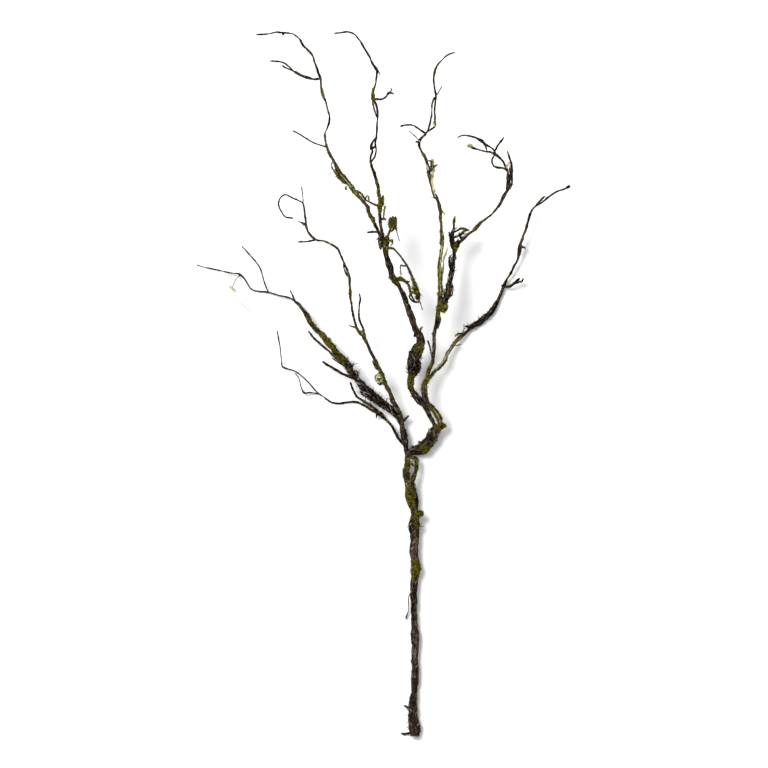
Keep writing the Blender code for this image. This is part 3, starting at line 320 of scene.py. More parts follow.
# Fine growth that has no solid of its own: thin twigs, tendrils and hairs.
TENDRILS = (
    ("stem_left_flap", "bark", (
        (39, -189, 13, 3), (35.8, -195, 12.4, 4.2), (36.4, -203, 12, 4.4), (38, -213, 11.4, 3))),
    ("stem_left_seam", "bark", (
        (38, -206, 10, 3), (38.4, -214, 10, 3.8), (38.6, -224, 10, 3.8), (39.4, -236, 10, 2.6))),
    ("stem_right_seam", "bark", ((48, -203, 10, 2.6), (47.8, -212, 10, 3.4), (47.2, -222, 10, 2.6))),
    ("stem_low_seam", "bark", ((45.8, -266, 9.4, 2.4), (46.4, -276, 9, 2.8), (45.8, -286, 8.6, 2.2))),
    ("foot_lobe", "bark", (
        (46.6, -471, 7, 4), (48.4, -480, 7, 5.4), (48.6, -488, 6.6, 6), (47.4, -494, 6.4, 5))),
    ("foot_left", "bark", (
        (37.6, -462, 7, 4), (36.4, -471, 7, 4.8), (36.6, -482, 7, 4.8), (37.6, -490, 6.6, 4))),
    ("sweep_tip_knob", "dark", ((255.6, 274.6, 31.2, 4), (259.2, 276.4, 31.4, 6), (261.6, 277.2, 31.4, 5))),
    ("curl_lichen", "pale", ((116.6, 334.4, 56, 6), (120.4, 333.6, 56.4, 8), (124.6, 332.6, 56, 6))),
    ("curl_knob", "dark", ((132.6, 342, 65.6, 4), (136.4, 340.2, 66.4, 6.4), (140, 338, 65.6, 4))),
    ("curl_web", "dark", (
        (174, 271, 58, 3.4), (175.8, 282, 59.6, 3), (176.4, 294, 60, 2.8), (175.4, 303, 59.6, 2))),
    ("curl_bits", "pale", ((171, 303, 60, 1.4), (174.4, 309, 60.6, 1.8), (177, 312, 60, 1.2))),
    ("curl_rag", "bark", (
        (158, 246.6, 53, 3), (163.6, 255.6, 54.4, 3.8), (168, 264, 55.6, 4.2), (171.6, 271, 56.4, 3.4))),
    ("sweep_rag", "dark", ((176, 137.6, 11, 3), (184, 141.6, 13.4, 3.4), (190.6, 148, 15, 2.4))),
    ("eye_top", "moss", ((36, -103, 15, 4), (41.4, -103.4, 16, 4.6), (45, -106, 15.4, 4))),
    ("eye_bridge", "twig", ((36, -109.6, 17, 2), (40, -112.6, 18, 1.7), (44.5, -117, 16.5, 1.8))),
    ("root_bud_left", "twig", ((40, -91, 15, 4.5), (40.2, -87.5, 16, 5), (40.4, -85.6, 16, 3))),
    ("root_bud_right", "twig", ((70, -79, 14, 4), (73.5, -79.5, 15, 3.6), (76, -79.6, 15.4, 2.6))),
    ("stem_right_flap", "bark", (
        (45, -343, 9, 3), (47.4, -348, 9.4, 3.2), (47.8, -362, 9.4, 2.6), (47, -371, 9, 2))),
    ("stem_low_flap", "bark", (
        (45.6, -391, 8.4, 3), (47.4, -400, 8.6, 3.4), (47.2, -414, 8.6, 2.4), (46.6, -424, 8, 1.6))),
    ("low_arm_tendril", "hair", (
        (-202, 152, 5.2, 1.1), (-208, 146, 6.4, 0.8), (-211, 139, 7.4, 0.8), (-213, 134, 8, 0.8),
        (-210.6, 130, 8, 0.5), (-207, 121, 7.4, 0.4), (-203, 115, 6.6, 0.4), (-192, 106, 5, 0.4),
        (-182, 98, 4, 0.4))),
    ("low_arm_thorn", "twig", ((-124.5, 116, 13, 2), (-128, 124, 15, 1.8), (-132, 131.5, 16, 1.5))),
    ("nest_outer", "pale", (
        (-2.6, 9, 33, 1.8), (-4, 13, 34, 2), (-8.4, 13.8, 34.4, 2), (-12, 10, 34, 2.2), (-11.4, 5, 33.4, 2),
        (-7.6, 1.8, 33, 2.2), (-3.2, 2.4, 32.6, 2), (-0.4, 4.6, 32, 1.6))),
    ("nest_inner", "pale", (
        (-4.4, 10, 35.4, 2.2), (-7.2, 11.4, 36, 2.6), (-9.4, 8.4, 36, 2.8), (-8, 5, 35.6, 2.6),
        (-4.6, 4.2, 35, 2.6), (-3, 6.6, 34.6, 2.4), (-5.4, 8.4, 36.4, 3.4))),
    ("tendril_tuft", "pale", (
        (-210.4, 132, 8.6, 2), (-213.6, 134.6, 9, 3.4), (-216.6, 136, 9, 1.8), (-214, 138.4, 9, 1.4))),
    ("nest_core", "moss", ((-4, 6.4, 33, 2), (-6.6, 7.4, 34, 4.4), (-9, 8, 34, 2))),
    ("low_arm_wisp", "twig", (
        (-51, 23.6, 29, 1.8), (-60, 27.6, 30, 1.4), (-68, 33, 31, 1.6), (-73, 37, 32, 1))),
    ("dipping_loop", "twig", (
        (-124, 14.6, 8, 1.3), (-119, 7, 8.6, 1.1), (-116, -5, 8, 1.1), (-112, -12.4, 7, 2),
        (-104, -12, 5.6, 1.8), (-92, -13.4, 2.6, 1.6))),
    ("dipping_thorn_left", "dark", ((-9, -41, 7, 4), (-10.4, -45, 7.4, 3.4), (-11, -48.4, 7.6, 2.2))),
    ("dipping_thorn_right", "dark", ((-2, -44, 7.4, 4), (-2.6, -48, 7.6, 3.6), (-1.4, -49, 7.6, 2.4))),
    ("tall_arm_ply", "bark", (
        (16.6, -33, 21, 3), (10.5, -25, 24.4, 3), (8.4, -16, 27, 2.8), (6.4, -7, 29, 2.6))),
    ("tall_arm_low_wisp", "twig", ((-9, 30, 38, 1.2), (-14, 27, 39, 1.3), (-16.4, 33, 40, 1))),
    ("tall_arm_mid_wisp", "twig", (
        (-37, 78, 47, 1.2), (-43, 80, 48, 1.8), (-48, 81.6, 48.6, 1.2), (-49, 84, 49, 0.9))),
    ("tall_arm_twin", "twig", (
        (-48, 148, 57, 2), (-53, 154, 58.4, 2.2), (-56, 162, 59, 2), (-56, 170, 58.6, 1.6))),
    ("tall_arm_strand", "bark", ((-9.6, 20, 36, 2.4), (-13, 25.6, 37.4, 2.6), (-15, 33, 39.6, 2.2))),
    ("low_arm_flap", "dark", (
        (11, -41, 15, 3.4), (1.4, -34.6, 17, 3.6), (-8.4, -27, 19.4, 3.8), (-17.6, -20.2, 22, 4.4),
        (-27, -13.6, 24, 3.8), (-34, -10, 25.6, 2.4))),
    ("low_arm_top", "dark", (
        (9, -31, 20, 3), (1, -24.6, 22, 4), (-9, -17, 24, 4.2), (-18, -9.4, 26, 4), (-26, -2, 27.4, 3.6),
        (-32, 4.6, 28, 2.4))),
    ("low_arm_spur", "bark", ((-47, 20, 31, 4), (-44, 27, 32, 3), (-42.6, 29.6, 32.4, 2))),
    ("low_arm_edge", "bark", ((-38, 8, 29, 3.6), (-36.6, 14, 30.4, 3), (-39.4, 20, 31, 2.4))),
    ("nest_foot", "bark", ((-2, 0.6, 30, 3.4), (-6, 0.2, 31, 2.4), (-9.4, 1.6, 32, 1.8))),
    ("low_arm_shred", "dark", (
        (-12.6, -25.6, 19, 2.6), (-21, -20.4, 20.6, 3), (-29, -15.4, 22.4, 2.4), (-34.4, -9, 24.6, 2))),
    ("tall_arm_knob", "twig", (
        (-108.5, 222, 54, 3), (-112.4, 223.6, 54.4, 5.4), (-116, 226, 55, 2), (-120.4, 228, 55.6, 1.4))),
    ("tall_arm_top", "twig", ((-113.4, 253, 50.6, 1.6), (-113.4, 261, 52, 1.3), (-115.4, 277, 54, 1.3))),
    ("bough_knot", "bark", ((48, 69, 44, 4.4), (51, 76, 45.6, 3.8), (54, 80.6, 46.6, 2.6))),
    ("bough_ply", "bark", (
        (43, 84, 48, 4), (42.8, 90, 50, 4), (41, 96, 51.6, 2.6), (38.6, 104, 52.6, 1.8))),
    ("bough_collar", "bark", ((44.6, 72, 46, 5), (42.6, 67.6, 46, 4.4), (43.4, 65.4, 45.4, 3))),
    ("bough_edge", "bark", ((50, 32, 34, 3.6), (50.6, 22, 32.4, 3.4), (47.6, 15, 31, 4.6))),
    ("fork_ply", "bark", ((-5.4, 208, 76, 5), (-5, 198, 75, 6), (-4.6, 187.6, 74, 5))),
    ("fork_side", "bark", ((3, 186, 71, 4.6), (5, 196, 73.6, 5), (6.4, 206, 75.6, 4.4))),
    ("fork_buds", "bark", (
        (6, 199.6, 76, 2), (10.4, 200.6, 77, 4.4), (11.6, 196, 77, 1.4), (9.8, 193.6, 77, 2.4))),
    ("horn_lump", "bark", ((-3, 231, 82, 5.4), (0.4, 230.8, 83, 6), (3.4, 230.4, 83, 4))),
    ("horn_wisp", "twig", ((-0.4, 232, 84, 1.2), (0, 240, 86, 1.4), (1.4, 249, 87, 1.4))),
    ("horn_crest", "moss", ((-5, 250, 86, 4), (-2, 257, 88, 3.6), (-1.4, 264, 89, 1.6))),
    ("left_horn_ply", "moss", (
        (-50, 279, 91, 2.8), (-58.6, 284, 93, 3), (-65, 291, 94, 3), (-70, 298, 94, 1.8),
        (-73, 304, 93.6, 1.2), (-72.4, 311, 93, 1))),
    # A straw strand laid on top: partly pale fibre and partly painted highlight.
    ("left_horn_straw", "pale", (
        (-38, 265, 90, 1), (-46, 276, 92, 1.4), (-54, 285, 94.6, 1.6), (-61, 293, 95, 1.2))),
    ("left_horn_spur", "bark", ((-23, 249, 86, 4), (-21, 247.6, 87, 3.6), (-20.4, 245, 87, 2))),
    ("left_horn_drip", "moss", ((-52, 276, 90, 1.8), (-53.6, 273, 90, 3), (-51.6, 271.4, 90, 1.6))),
    ("bridge_wisp", "twig", ((-27, 259, 95, 1.2), (-22.6, 263, 96, 1.2), (-20.6, 256, 95, 1.2))),
    ("high_twig_ply", "dark", (
        (-100, 427, 78.6, 2.6), (-108, 429.4, 79, 3), (-117, 432.4, 78.6, 3.4), (-125, 438, 77, 2.4))),
    ("high_twig_spur", "dark", (
        (-127, 437.6, 76, 1.2), (-134, 440.6, 76.4, 1.5), (-139.6, 443.6, 75.6, 1.8),
        (-143, 446.4, 75, 1.2))),
    ("left_upper_ply", "dark", (
        (-94.4, 445, 71.6, 2.2), (-92, 436, 73.6, 3.4), (-88.6, 427, 75.6, 3.4), (-87.6, 421, 76, 2))),
    ("right_upper_ply", "dark", (
        (-20.6, 459.6, 93.6, 2), (-17, 450, 95.6, 3.2), (-13, 443, 97, 3), (-9.6, 436, 98, 2))),
    ("upper_knot_spur", "twig", ((-117, 430.6, 77.6, 1.8), (-118.4, 436, 78.4, 1.4))),
    ("tip_spur", "twig", ((-141, 491, 54.6, 1.6), (-141.4, 487.4, 55, 1.4))),
    ("right_horn_spur", "twig", ((-10.4, 441, 97, 1.6), (-7.4, 436, 97.6, 1.4), (-5.2, 432, 97.6, 1.2))),
    ("right_horn_fork", "twig", ((8, 407.4, 104.6, 1.4), (10.6, 411, 105.4, 1.3), (9, 414.4, 105.8, 1.2))),
    ("right_horn_thorn", "twig", ((-22, 461.6, 93, 1.8), (-25.4, 463.4, 93.4, 1.3))),
    ("bush_left", "moss", ((9.6, 217, 81, 2), (7.4, 225, 83, 2.4), (8.6, 233, 84.6, 3.4))),
    ("bush_right", "moss", (
        (10, 213, 80, 2), (15, 220, 82, 3.6), (16.4, 228, 84, 4), (17.4, 232, 84.6, 3.6))),
    ("bush_hair", "hair", ((16.8, 219, 82, 1.2), (18.6, 210, 82, 0.9), (21.8, 199.6, 81, 0.8))),
    ("drooping_hair", "hair", ((50.4, 115, 62, 1.2), (52.4, 109, 61, 1), (54, 103.4, 60, 0.9))),
    ("drooping_wisp", "twig", (
        (30.6, 165.6, 76.6, 1.3), (27, 165, 77.4, 1.8), (23.6, 166.4, 77.6, 1.2), (22.8, 160, 77, 0.9),
        (24, 152, 75, 0.9))),
    ("drooping_ply", "bark", (
        (40.8, 148, 70, 2.6), (44.6, 138, 67.4, 3.4), (48.2, 126, 65, 3.8), (49.6, 116, 62, 2.4))),
    ("side_twig_tip", "twig", ((31, 143, 64.6, 2.6), (36.4, 142.2, 65.4, 2))),
    ("side_twig_loop", "twig", (
        (40, 128, 62.4, 1.6), (35.6, 123, 61, 2.4), (37.4, 118.6, 60.4, 2), (42, 115, 59.4, 2.8),
        (50, 114.6, 60.4, 1.8))),
    # A straw strand laid on top: partly pale fibre and partly painted highlight.
    ("strand_straw", "pale", ((79, -54, 27, 0.9), (76, -45, 31, 1.1), (70, -36, 34.6, 0.9))),
    ("right_twig", "twig", (
        (67.4, 38, 39, 2), (65, 49, 43, 1.8), (62.6, 57, 45.4, 1.8), (61, 61.6, 46.6, 1.2))),
    ("right_bough_knob", "bark", ((70, 72, 46, 4), (67.6, 70.6, 47, 3.4), (67, 69, 47, 2))),
    ("right_bough_flap", "bark", ((75.4, 78, 48, 3), (77.6, 87, 50.4, 4), (79, 93, 51, 3))),
    ("right_ply_low", "pale", (
        (80.6, 152, 57, 2.4), (83, 163, 59, 2.4), (83.4, 174, 61, 2), (86.4, 182, 62.4, 1.9),
        (89, 191.5, 63.6, 2))),
    ("right_bough_hair", "hair", ((80, 244, 72, 1.1), (82.6, 240, 73, 1), (85.4, 237, 73, 1.2))),
    ("right_bough_ply", "moss", (
        (79.4, 116, 54, 2.6), (80.6, 128, 55.6, 3), (80.4, 141, 57, 3), (80, 152, 58.6, 2.8),
        (79.4, 163, 60, 2.2))),
    # A straw strand laid on top: partly pale fibre and partly painted highlight.
    ("right_straw", "pale", (
        (79.6, 128, 57, 1), (78.6, 150, 59.8, 1.2), (79, 170, 62.8, 1.2), (81, 192, 66.2, 1),
        (81.6, 212, 69.8, 0.9))),
    ("right_ply_high", "pale", (
        (72.6, 262, 75, 2.4), (69.8, 268, 76, 3), (69, 276, 77, 3), (67.6, 284, 77.4, 3.4),
        (68.6, 295, 77.6, 4.4), (68.6, 304, 77.4, 4.8), (68.4, 314, 77, 3))),
    ("right_bough_crumb", "dark", (
        (62.6, 295, 77, 3.4), (66.4, 300, 78, 4), (71, 304.6, 78, 4.4), (75.4, 306.6, 78, 4))),
    ("crumb_top", "moss", ((65.6, 303, 77, 2.6), (66, 310, 78, 2.6), (63, 313, 78, 1.8))),
    ("crumb_pale", "pale", ((62, 299, 78, 2), (59.6, 306, 78.6, 2.6), (58, 306.6, 78.6, 1.8))),
    ("right_upper_knob", "twig", ((50, 338, 75, 2.4), (46.4, 338.6, 76, 3.8), (44, 338, 76, 5))),
    ("upper_twin", "twig", ((-10, 373, 99, 2), (-13.4, 384, 100, 2.4), (-17, 395, 100, 2.6))),
    ("ply_knot", "twig", ((-19.6, 328, 96, 2.6), (-14, 331, 95, 3), (-11.4, 336, 93.6, 2.4))),
    ("right_upper_wisp", "twig", ((48.6, 341, 75.6, 1.3), (43.6, 346.6, 77, 1.2), (35, 354, 78.6, 1))),
    ("papery_bit", "pale", ((70.6, 361, 75, 1.6), (69, 364.6, 75.6, 2.6), (69.6, 368, 75.4, 1.2))),
    ("right_tip_twig", "twig", (
        (72.3, 403, 78.4, 1.8), (76.4, 408, 79.6, 1.5), (79, 413, 80, 1.4), (81.4, 416.6, 80, 1.6))),
    ("dark_bough_loop", "dark", (
        (87, 118, 51, 3), (91.6, 121.4, 52, 3), (95.6, 125.6, 52, 3), (96, 133, 51, 2.4),
        (95.4, 141, 49.6, 2.4))),
    ("dark_bough_cage", "pale", ((79, 127, 54.6, 2.2), (84, 127.6, 54.6, 2.2), (86, 133, 52, 2.2))),
    ("clump_ply", "bark", (
        (79, 104, 51.6, 3), (84.6, 101.6, 52, 3.4), (88, 107, 52.6, 2.4), (86.6, 115, 52, 3))),
    ("dark_bough_ply", "dark", (
        (92.6, 162, 47, 3), (91.6, 170, 48, 3.4), (92.6, 177.6, 47.4, 3), (95, 181, 46, 2.4))),
    ("dark_bough_spur", "dark", ((98, 176, 46, 3), (102.4, 177.4, 46.6, 2.6))),
    ("dark_top_ply", "dark", (
        (95, 190, 45, 2.4), (94.2, 199, 46, 2.6), (92.4, 208.4, 46.6, 3), (91.4, 213.6, 46.8, 1.4))),
    ("dark_top_web", "dark", (
        (97, 205, 46, 2.6), (102.6, 207, 47.6, 2.6), (109, 210, 48.4, 3.6), (112.6, 215, 48, 3.8))),
    ("dark_top_tie", "bark", ((99.6, 188, 44, 2.6), (100.6, 197, 45.6, 2.6), (104.6, 203, 45, 2.6))),
    ("dark_top_stay", "dark", ((108, 203, 44, 3), (106.6, 208, 46, 2.6), (105, 212, 47.4, 2))),
    ("curl_cross", "twig", ((137, 339.6, 66, 2.6), (142, 332.6, 63, 2.6), (143.6, 327, 59.6, 2.2))),
    ("curl_tie", "twig", ((173, 275, 57, 1.2), (176, 284, 59.6, 1), (174, 292, 59.4, 1))),
    ("sweep_ply", "warm", (
        (94, 52.4, 15, 2.6), (99, 60, 13, 3), (105.6, 66.6, 11.4, 2.4), (112, 71.2, 9.4, 2.2),
        (115, 75.4, 8.4, 2))),
    # A straw strand laid on top: partly pale fibre and partly painted highlight.
    ("sweep_straw", "pale", ((72, 20, 27.4, 1), (82, 30, 23, 1.4), (89, 42, 19, 1.4), (95, 52, 16, 1))),
    ("sweep_thorn", "warm", ((96, 56, 14, 2.6), (101, 53.6, 15.4, 1.8), (108.8, 56.2, 16.6, 1.4))),
    ("sweep_wisp", "twig", (
        (99, 66.6, 14.6, 1.6), (104, 70.4, 15, 2), (109, 71, 13.6, 1.6), (113, 78.4, 11, 1.6))),
    ("sweep_start", "dark", ((124, 80.6, 7.4, 5), (117, 80.6, 8.6, 4.4), (112.6, 81.4, 9, 1.8))),
    ("sweep_fork", "dark", (
        (183, 141, 12.6, 2.6), (189.6, 143, 14.4, 2.6), (193.4, 144, 15, 3.2), (195.4, 148.6, 15.4, 2))),
    ("sweep_knob", "twig", ((167.4, 137.6, 7, 2.4), (164.2, 139, 8.4, 3))),
    ("sweep_bud", "twig", ((191, 192, 15, 3), (195.8, 191.4, 16, 4.6), (198.4, 191.8, 16, 3.4))),
)

# Where moss grows, where the bark hangs in shreds, and where it has peeled to a warm brown:
# (x, y, reach, amount).
MOSS_SPOTS = (
    (45, -259, 13, 1.0), (42, -240, 9, 0.2), (44, -222, 9, 0.3), (46, -204, 10, 0.5), (45, -190, 9, 0.9),
    (51, -181, 7, 1.0), (42, -289, 7, 0.4), (46, -300, 5, 0.35), (47, -482, 5, 0.25), (35, -160, 10, 1.0),
    (37, -150, 7, 0.8), (43, -176, 8, 0.7), (31, -128, 8, 0.75), (33, -114, 9, 0.65), (46, -112, 8, 1.2),
    (43, -131, 7, 1.1), (35, -102, 6, 0.4), (58, -94, 10, 1.0), (64, -85, 8, 0.85), (48, -86, 5, 0.6),
    (72, -70, 6, 0.45), (80, -58, 9, 1.0), (78, -47, 10, 1.0), (72, -36, 8, 0.8), (58, 4, 9, 1.0),
    (64, 12, 7, 0.9), (76, 24, 9, 0.95), (86, 38, 8, 1.0), (94, 50, 7, 0.7), (67, 24, 7, 0.7),
    (40, 8, 10, 0.95), (38, -4, 8, 0.8), (53, 49, 9, 1.0), (47, 40, 8, 0.75), (41, 27, 6, 0.6),
    (45, 79, 5, 0.5), (20, -42, 9, 0.5), (14, -28, 8, 0.45), (9, -14, 9, 0.5), (5, -2, 7, 0.5),
    (-4, 12, 9, 0.85), (-4, 7, 8, 0.9), (-10, 27, 8, 0.7), (-28, 67, 9, 0.85), (-34, 73, 7, 0.75),
    (-79, 59, 16, 1.35), (-68, 46, 8, 1.1), (-92, 77, 9, 0.95), (-58, 37, 8, 0.9), (-49, 25, 8, 0.6),
    (-104, 90, 8, 0.8), (-48, 127, 7, 1.0), (14, 147, 9, 0.7), (23, 149, 10, 1.0), (6, 166, 8, 0.4),
    (3, 192, 9, 0.8), (5, 205, 8, 0.8), (12, 224, 11, 1.0), (42, 136, 13, 1.3), (42, 148, 8, 1.0),
    (-15, 231, 8, 0.7), (-5, 252, 11, 1.4), (-9, 277, 10, 0.95), (-34, 260, 9, 0.9), (-45, 273, 11, 1.3),
    (-57, 289, 12, 1.5), (-66, 297, 8, 1.2), (-26, 258, 6, 0.9), (-15, 405, 9, 1.0), (-87, 408, 8, 0.9),
    (-88, 424, 5, 0.6), (80, 106, 12, 1.3), (79, 136, 12, 1.2), (78, 152, 14, 1.5), (79, 176, 12, 1.3),
    (80, 203, 13, 1.5), (80, 222, 13, 1.4), (78, 240, 9, 0.65), (82, 132, 5, 0.8), (96, 192, 9, 0.75),
    (98, 229, 6, 1.0), (112, 214, 5, 0.9), (131, 220, 7, 1.0), (120, 333, 5, 1.0), (64, 288, 9, 0.65),
    (56, 320, 7, 0.5), (70, 436, 6, 0.6), (75, 445, 5, 0.5), (71, 364, 4, 0.8), (106, 68, 6, 0.4),
    (138, 92, 9, 0.4), (150, 108, 6, 0.5), (190, 188, 6, 0.4), (-20, -28, 9, 0.6), (25, -62, 7, 0.35),
)
BARE_SPOTS = (
    (66, -69, 9, 0.9), (61, -78, 6, 0.7), (45, -92, 8, 0.75), (57, -19, 7, 0.55), (0, 216, 6, 0.6),
    (-28, 254, 6, 0.5), (36, -137, 5, 0.7), (-71, 39.5, 4, 0.8), (-78, 45, 4, 1), (-84, 51, 4, 1),
    (-90, 57, 4, 1), (-97, 63.5, 4, 1), (-103, 70, 4, 1),
)
SHAG_SPOTS = (
    (-20, -16, 13, 1.0), (-8, -22, 10, 0.9), (4, -30, 9, 0.8), (-32, -4, 8, 0.8), (12, -40, 8, 0.5),
    (-48, 26, 9, 0.7), (-40, 14, 7, 0.6), (-60, 42, 7, 0.5), (40, 26, 13, 0.9), (42, 40, 10, 0.6),
    (47, -20, 9, 0.5), (92, 140, 13, 0.9), (93, 155, 10, 0.9), (94, 170, 10, 1.0), (95, 202, 9, 0.8),
    (96, 212, 9, 0.8), (108, 210, 8, 0.8), (84, 122, 9, 0.9), (86, 104, 6, 0.7), (130, 84, 14, 1.0),
    (146, 95, 11, 0.9), (116, 80, 7, 0.8), (68, 305, 9, 0.7), (71, 264, 7, 0.8), (-62, 290, 9, 0.7),
    (-46, 275, 8, 0.4), (36, -200, 8, 0.9), (50, -199, 6, 0.8), (37, -470, 16, 0.6), (48, -484, 9, 0.6),
    (47, -396, 9, 0.5), (47, -356, 10, 0.45), (28, -126, 6, 0.5), (-4, 198, 10, 0.8), (8, 222, 8, 0.7),
    (16, 226, 6, 0.9), (44, 132, 9, 0.6), (-2, 232, 5, 0.8), (26, -76, 9, 0.4), (103, 70, 6, 0.5),
    (-4, 2, 8, 0.6), (173, 285, 8, 0.5), (190, 188, 6, 0.5), (-65, 189, 4, 0.5), (62, -68, 6, 0.5),
)
WARM_SPOTS = (
    (53, 50, 7, 0.8), (69, 45, 8, 0.7), (42, 88, 7, 0.6), (35, 112, 8, 0.5), (101, 60, 10, 1.0),
    (104, 52, 6, 0.8), (88, 131, 7, 0.8), (80, 196, 9, 0.7), (80, 184, 8, 0.5), (-7, 262, 9, 0.6),
    (10, -24, 8, 0.6), (0, -20, 7, 0.5), (38, -134, 7, 0.6), (50, -88, 6, 0.6), (-33, 76, 5, 0.7),
    (-47, 24, 7, 0.4), (68, -64, 6, 0.5), (74, -40, 6, 0.4), (-22, -30, 6, 0.5), (-4, -42, 5, 0.6),
    (12, 225, 7, 0.5),
)

# Moss cushions: (x, y, height above the limb's middle, size), in millimetres.
CUSHIONS = (
    (48.5, -259, 2, 4.6), (46, -252, 4, 3.6), (47, -266, 2.6, 3), (51.6, -181.2, 1, 5.2),
    (48, -186, 3, 3.2), (35, -160, 3, 5), (36.6, -152, 3.4, 3.4), (45.6, -198, 3, 3.2), (30, -128, 2, 3),
    (32, -112, 4, 2.8), (46, -109, 1, 1.8), (56.4, -91.6, 6, 5.4), (63, -85, 5.6, 3.4), (51, -83, 4, 3),
    (80, -58, 3, 5), (79, -48, 2, 3.8), (74, -39, 2.4, 3), (58.6, 3, 2, 3.8), (54, 49, 3.6, 3.6),
    (49, 57, 3.6, 2.6), (22, -44, 3, 2.8), (14.6, -27, 1.4, 2.2), (-3, 8, 0, 2.6), (-3, 14, 2.2, 2.8),
    (-28, 67.6, 1, 2.8), (-32, 73, 1, 2), (-78, 61, 2.6, 4), (-70, 51.6, 2.6, 3.6), (-84, 66, 2.6, 3),
    (-48, 127, 0.4, 2.6), (22.6, 147, 1, 4.4), (16, 147.4, 2.6, 3.2), (28, 144.8, 1, 2.8),
    (12, 225, 0.6, 4.4), (9, 219, 0.4, 2.8), (14, 230, 0.6, 3.2), (41.8, 142.6, 0, 3), (43, 135, -2, 4.6),
    (45, 128.6, -2, 4.6), (46.6, 120.6, -1, 3.4), (39.4, 128, -1, 2.4), (-4, 252, 2, 4.4),
    (-2.4, 259, 1.6, 2.8), (-45, 273.6, 2, 3.4), (-38, 265, 2, 2.8), (-57, 290, 2, 3.4),
    (-63.6, 292, 0.4, 2.2), (-26, 257.6, 0, 2.4), (-15.6, 401, 0.4, 2.2), (-86.8, 408, 0, 1.9),
    (79, 106, 3, 4.8), (83, 105.4, 2, 3.8), (75, 103, 2, 3), (77.6, 152, 1.2, 2.4), (81, 204, 1.6, 3.4),
    (80, 197, 1.6, 2.8), (96.4, 191, 1.4, 2.8), (98, 229, 0, 2), (112.6, 214.6, 0, 2.6),
    (130.6, 220.4, 0.6, 2.6), (120, 333, 0, 2.2), (5, 204, 2, 3), (3, 191, 2, 2.8), (-15, 232, 1, 2.4),
    (40, 12, 2.6, 2.6), (-20, -28, 0.6, 1.8),
)

GROUPS = {
    "trunk": TRUNK, "left": LEFT_LIMBS, "elbow": ELBOW, "middle": MIDDLE_LIMBS, "right": RIGHT_LIMBS,
}


FLOOR_GAP = 0.15 * MM  # nothing of the branch goes lower
DENSEST = 4.0e6  # points in a square metre before the spacing thins them
LEAST_SIDES, MOST_SIDES = 8, 44  # faces round a limb
# How many strands wind round a limb that is wider than each radius.
STRANDS = ((6 * MM, 7), (4 * MM, 5), (2.5 * MM, 4), (1.7 * MM, 3))
CLUMP = 2.5 * MM  # spacing of the tufts in a patch of moss
SPOT_EDGE = 1.3  # where a spot ends, over its reach
SPOT_FADE = 2.4  # how steeply a spot fades towards its end
FOOT_X, FOOT_Z = 42.8, 7.9  # the middle of the cut foot, in millimetres
CUT_DEPTH = 1.4 * MM  # how far from the foot's end the cut wood shows
RING_WIDTH = 0.9 * MM  # from one growth ring to the next
# For each kind of bark: its own moss, its share of the moss spots, its warmth and its lightness.
BASE_MOSS = {"bark": 0.26, "dark": 0.12, "moss": 0.5, "twig": 0.14, "warm": 0.15, "hair": 0.0, "pale": 0.12}
MOSS_SHARE = {"dark": 0.7, "pale": 0.4}  # of the moss spots, on these barks
BASE_WARM = {"bark": 0.1, "dark": 0.0, "moss": 0.12, "twig": 0.1, "warm": 0.9, "hair": 0.2, "pale": 0.0}
TONES = {"bark": -0.03, "dark": -0.30, "moss": -0.14, "twig": -0.15, "warm": 0.05, "hair": 0.0, "pale": 0.14}
# The loose strips and the hairs that are scattered: width, lift and bend of each.
STRIP_SHAPES = ((0.18, 0.3, 0.1), (0.14, 0.55, -0.16), (0.22, 0.15, 0.05), (0.12, 0.8, 0.22))
HAIR_SHAPES = ((0.055, 0.35, 0.15), (0.055, 0.6, -0.35), (0.055, 0.9, 0.4))
DULL = 0.03  # the specular level of bark, moss and fibres
LAMP_PLACE = (-3.7, 3.2, 6.9)  # metres
THIN = 3.2 * MM  # the radius under which a twig is made more uneven


def paint(red, green, blue):
    """A screen colour, 0 to 255, as the linear colour that a shader takes."""
    def linear(value):
        value /= 255
        return value / 12.92 if value <= 0.04045 else ((value + 0.055) / 1.055) ** 2.4
    return (linear(red), linear(green), linear(blue))


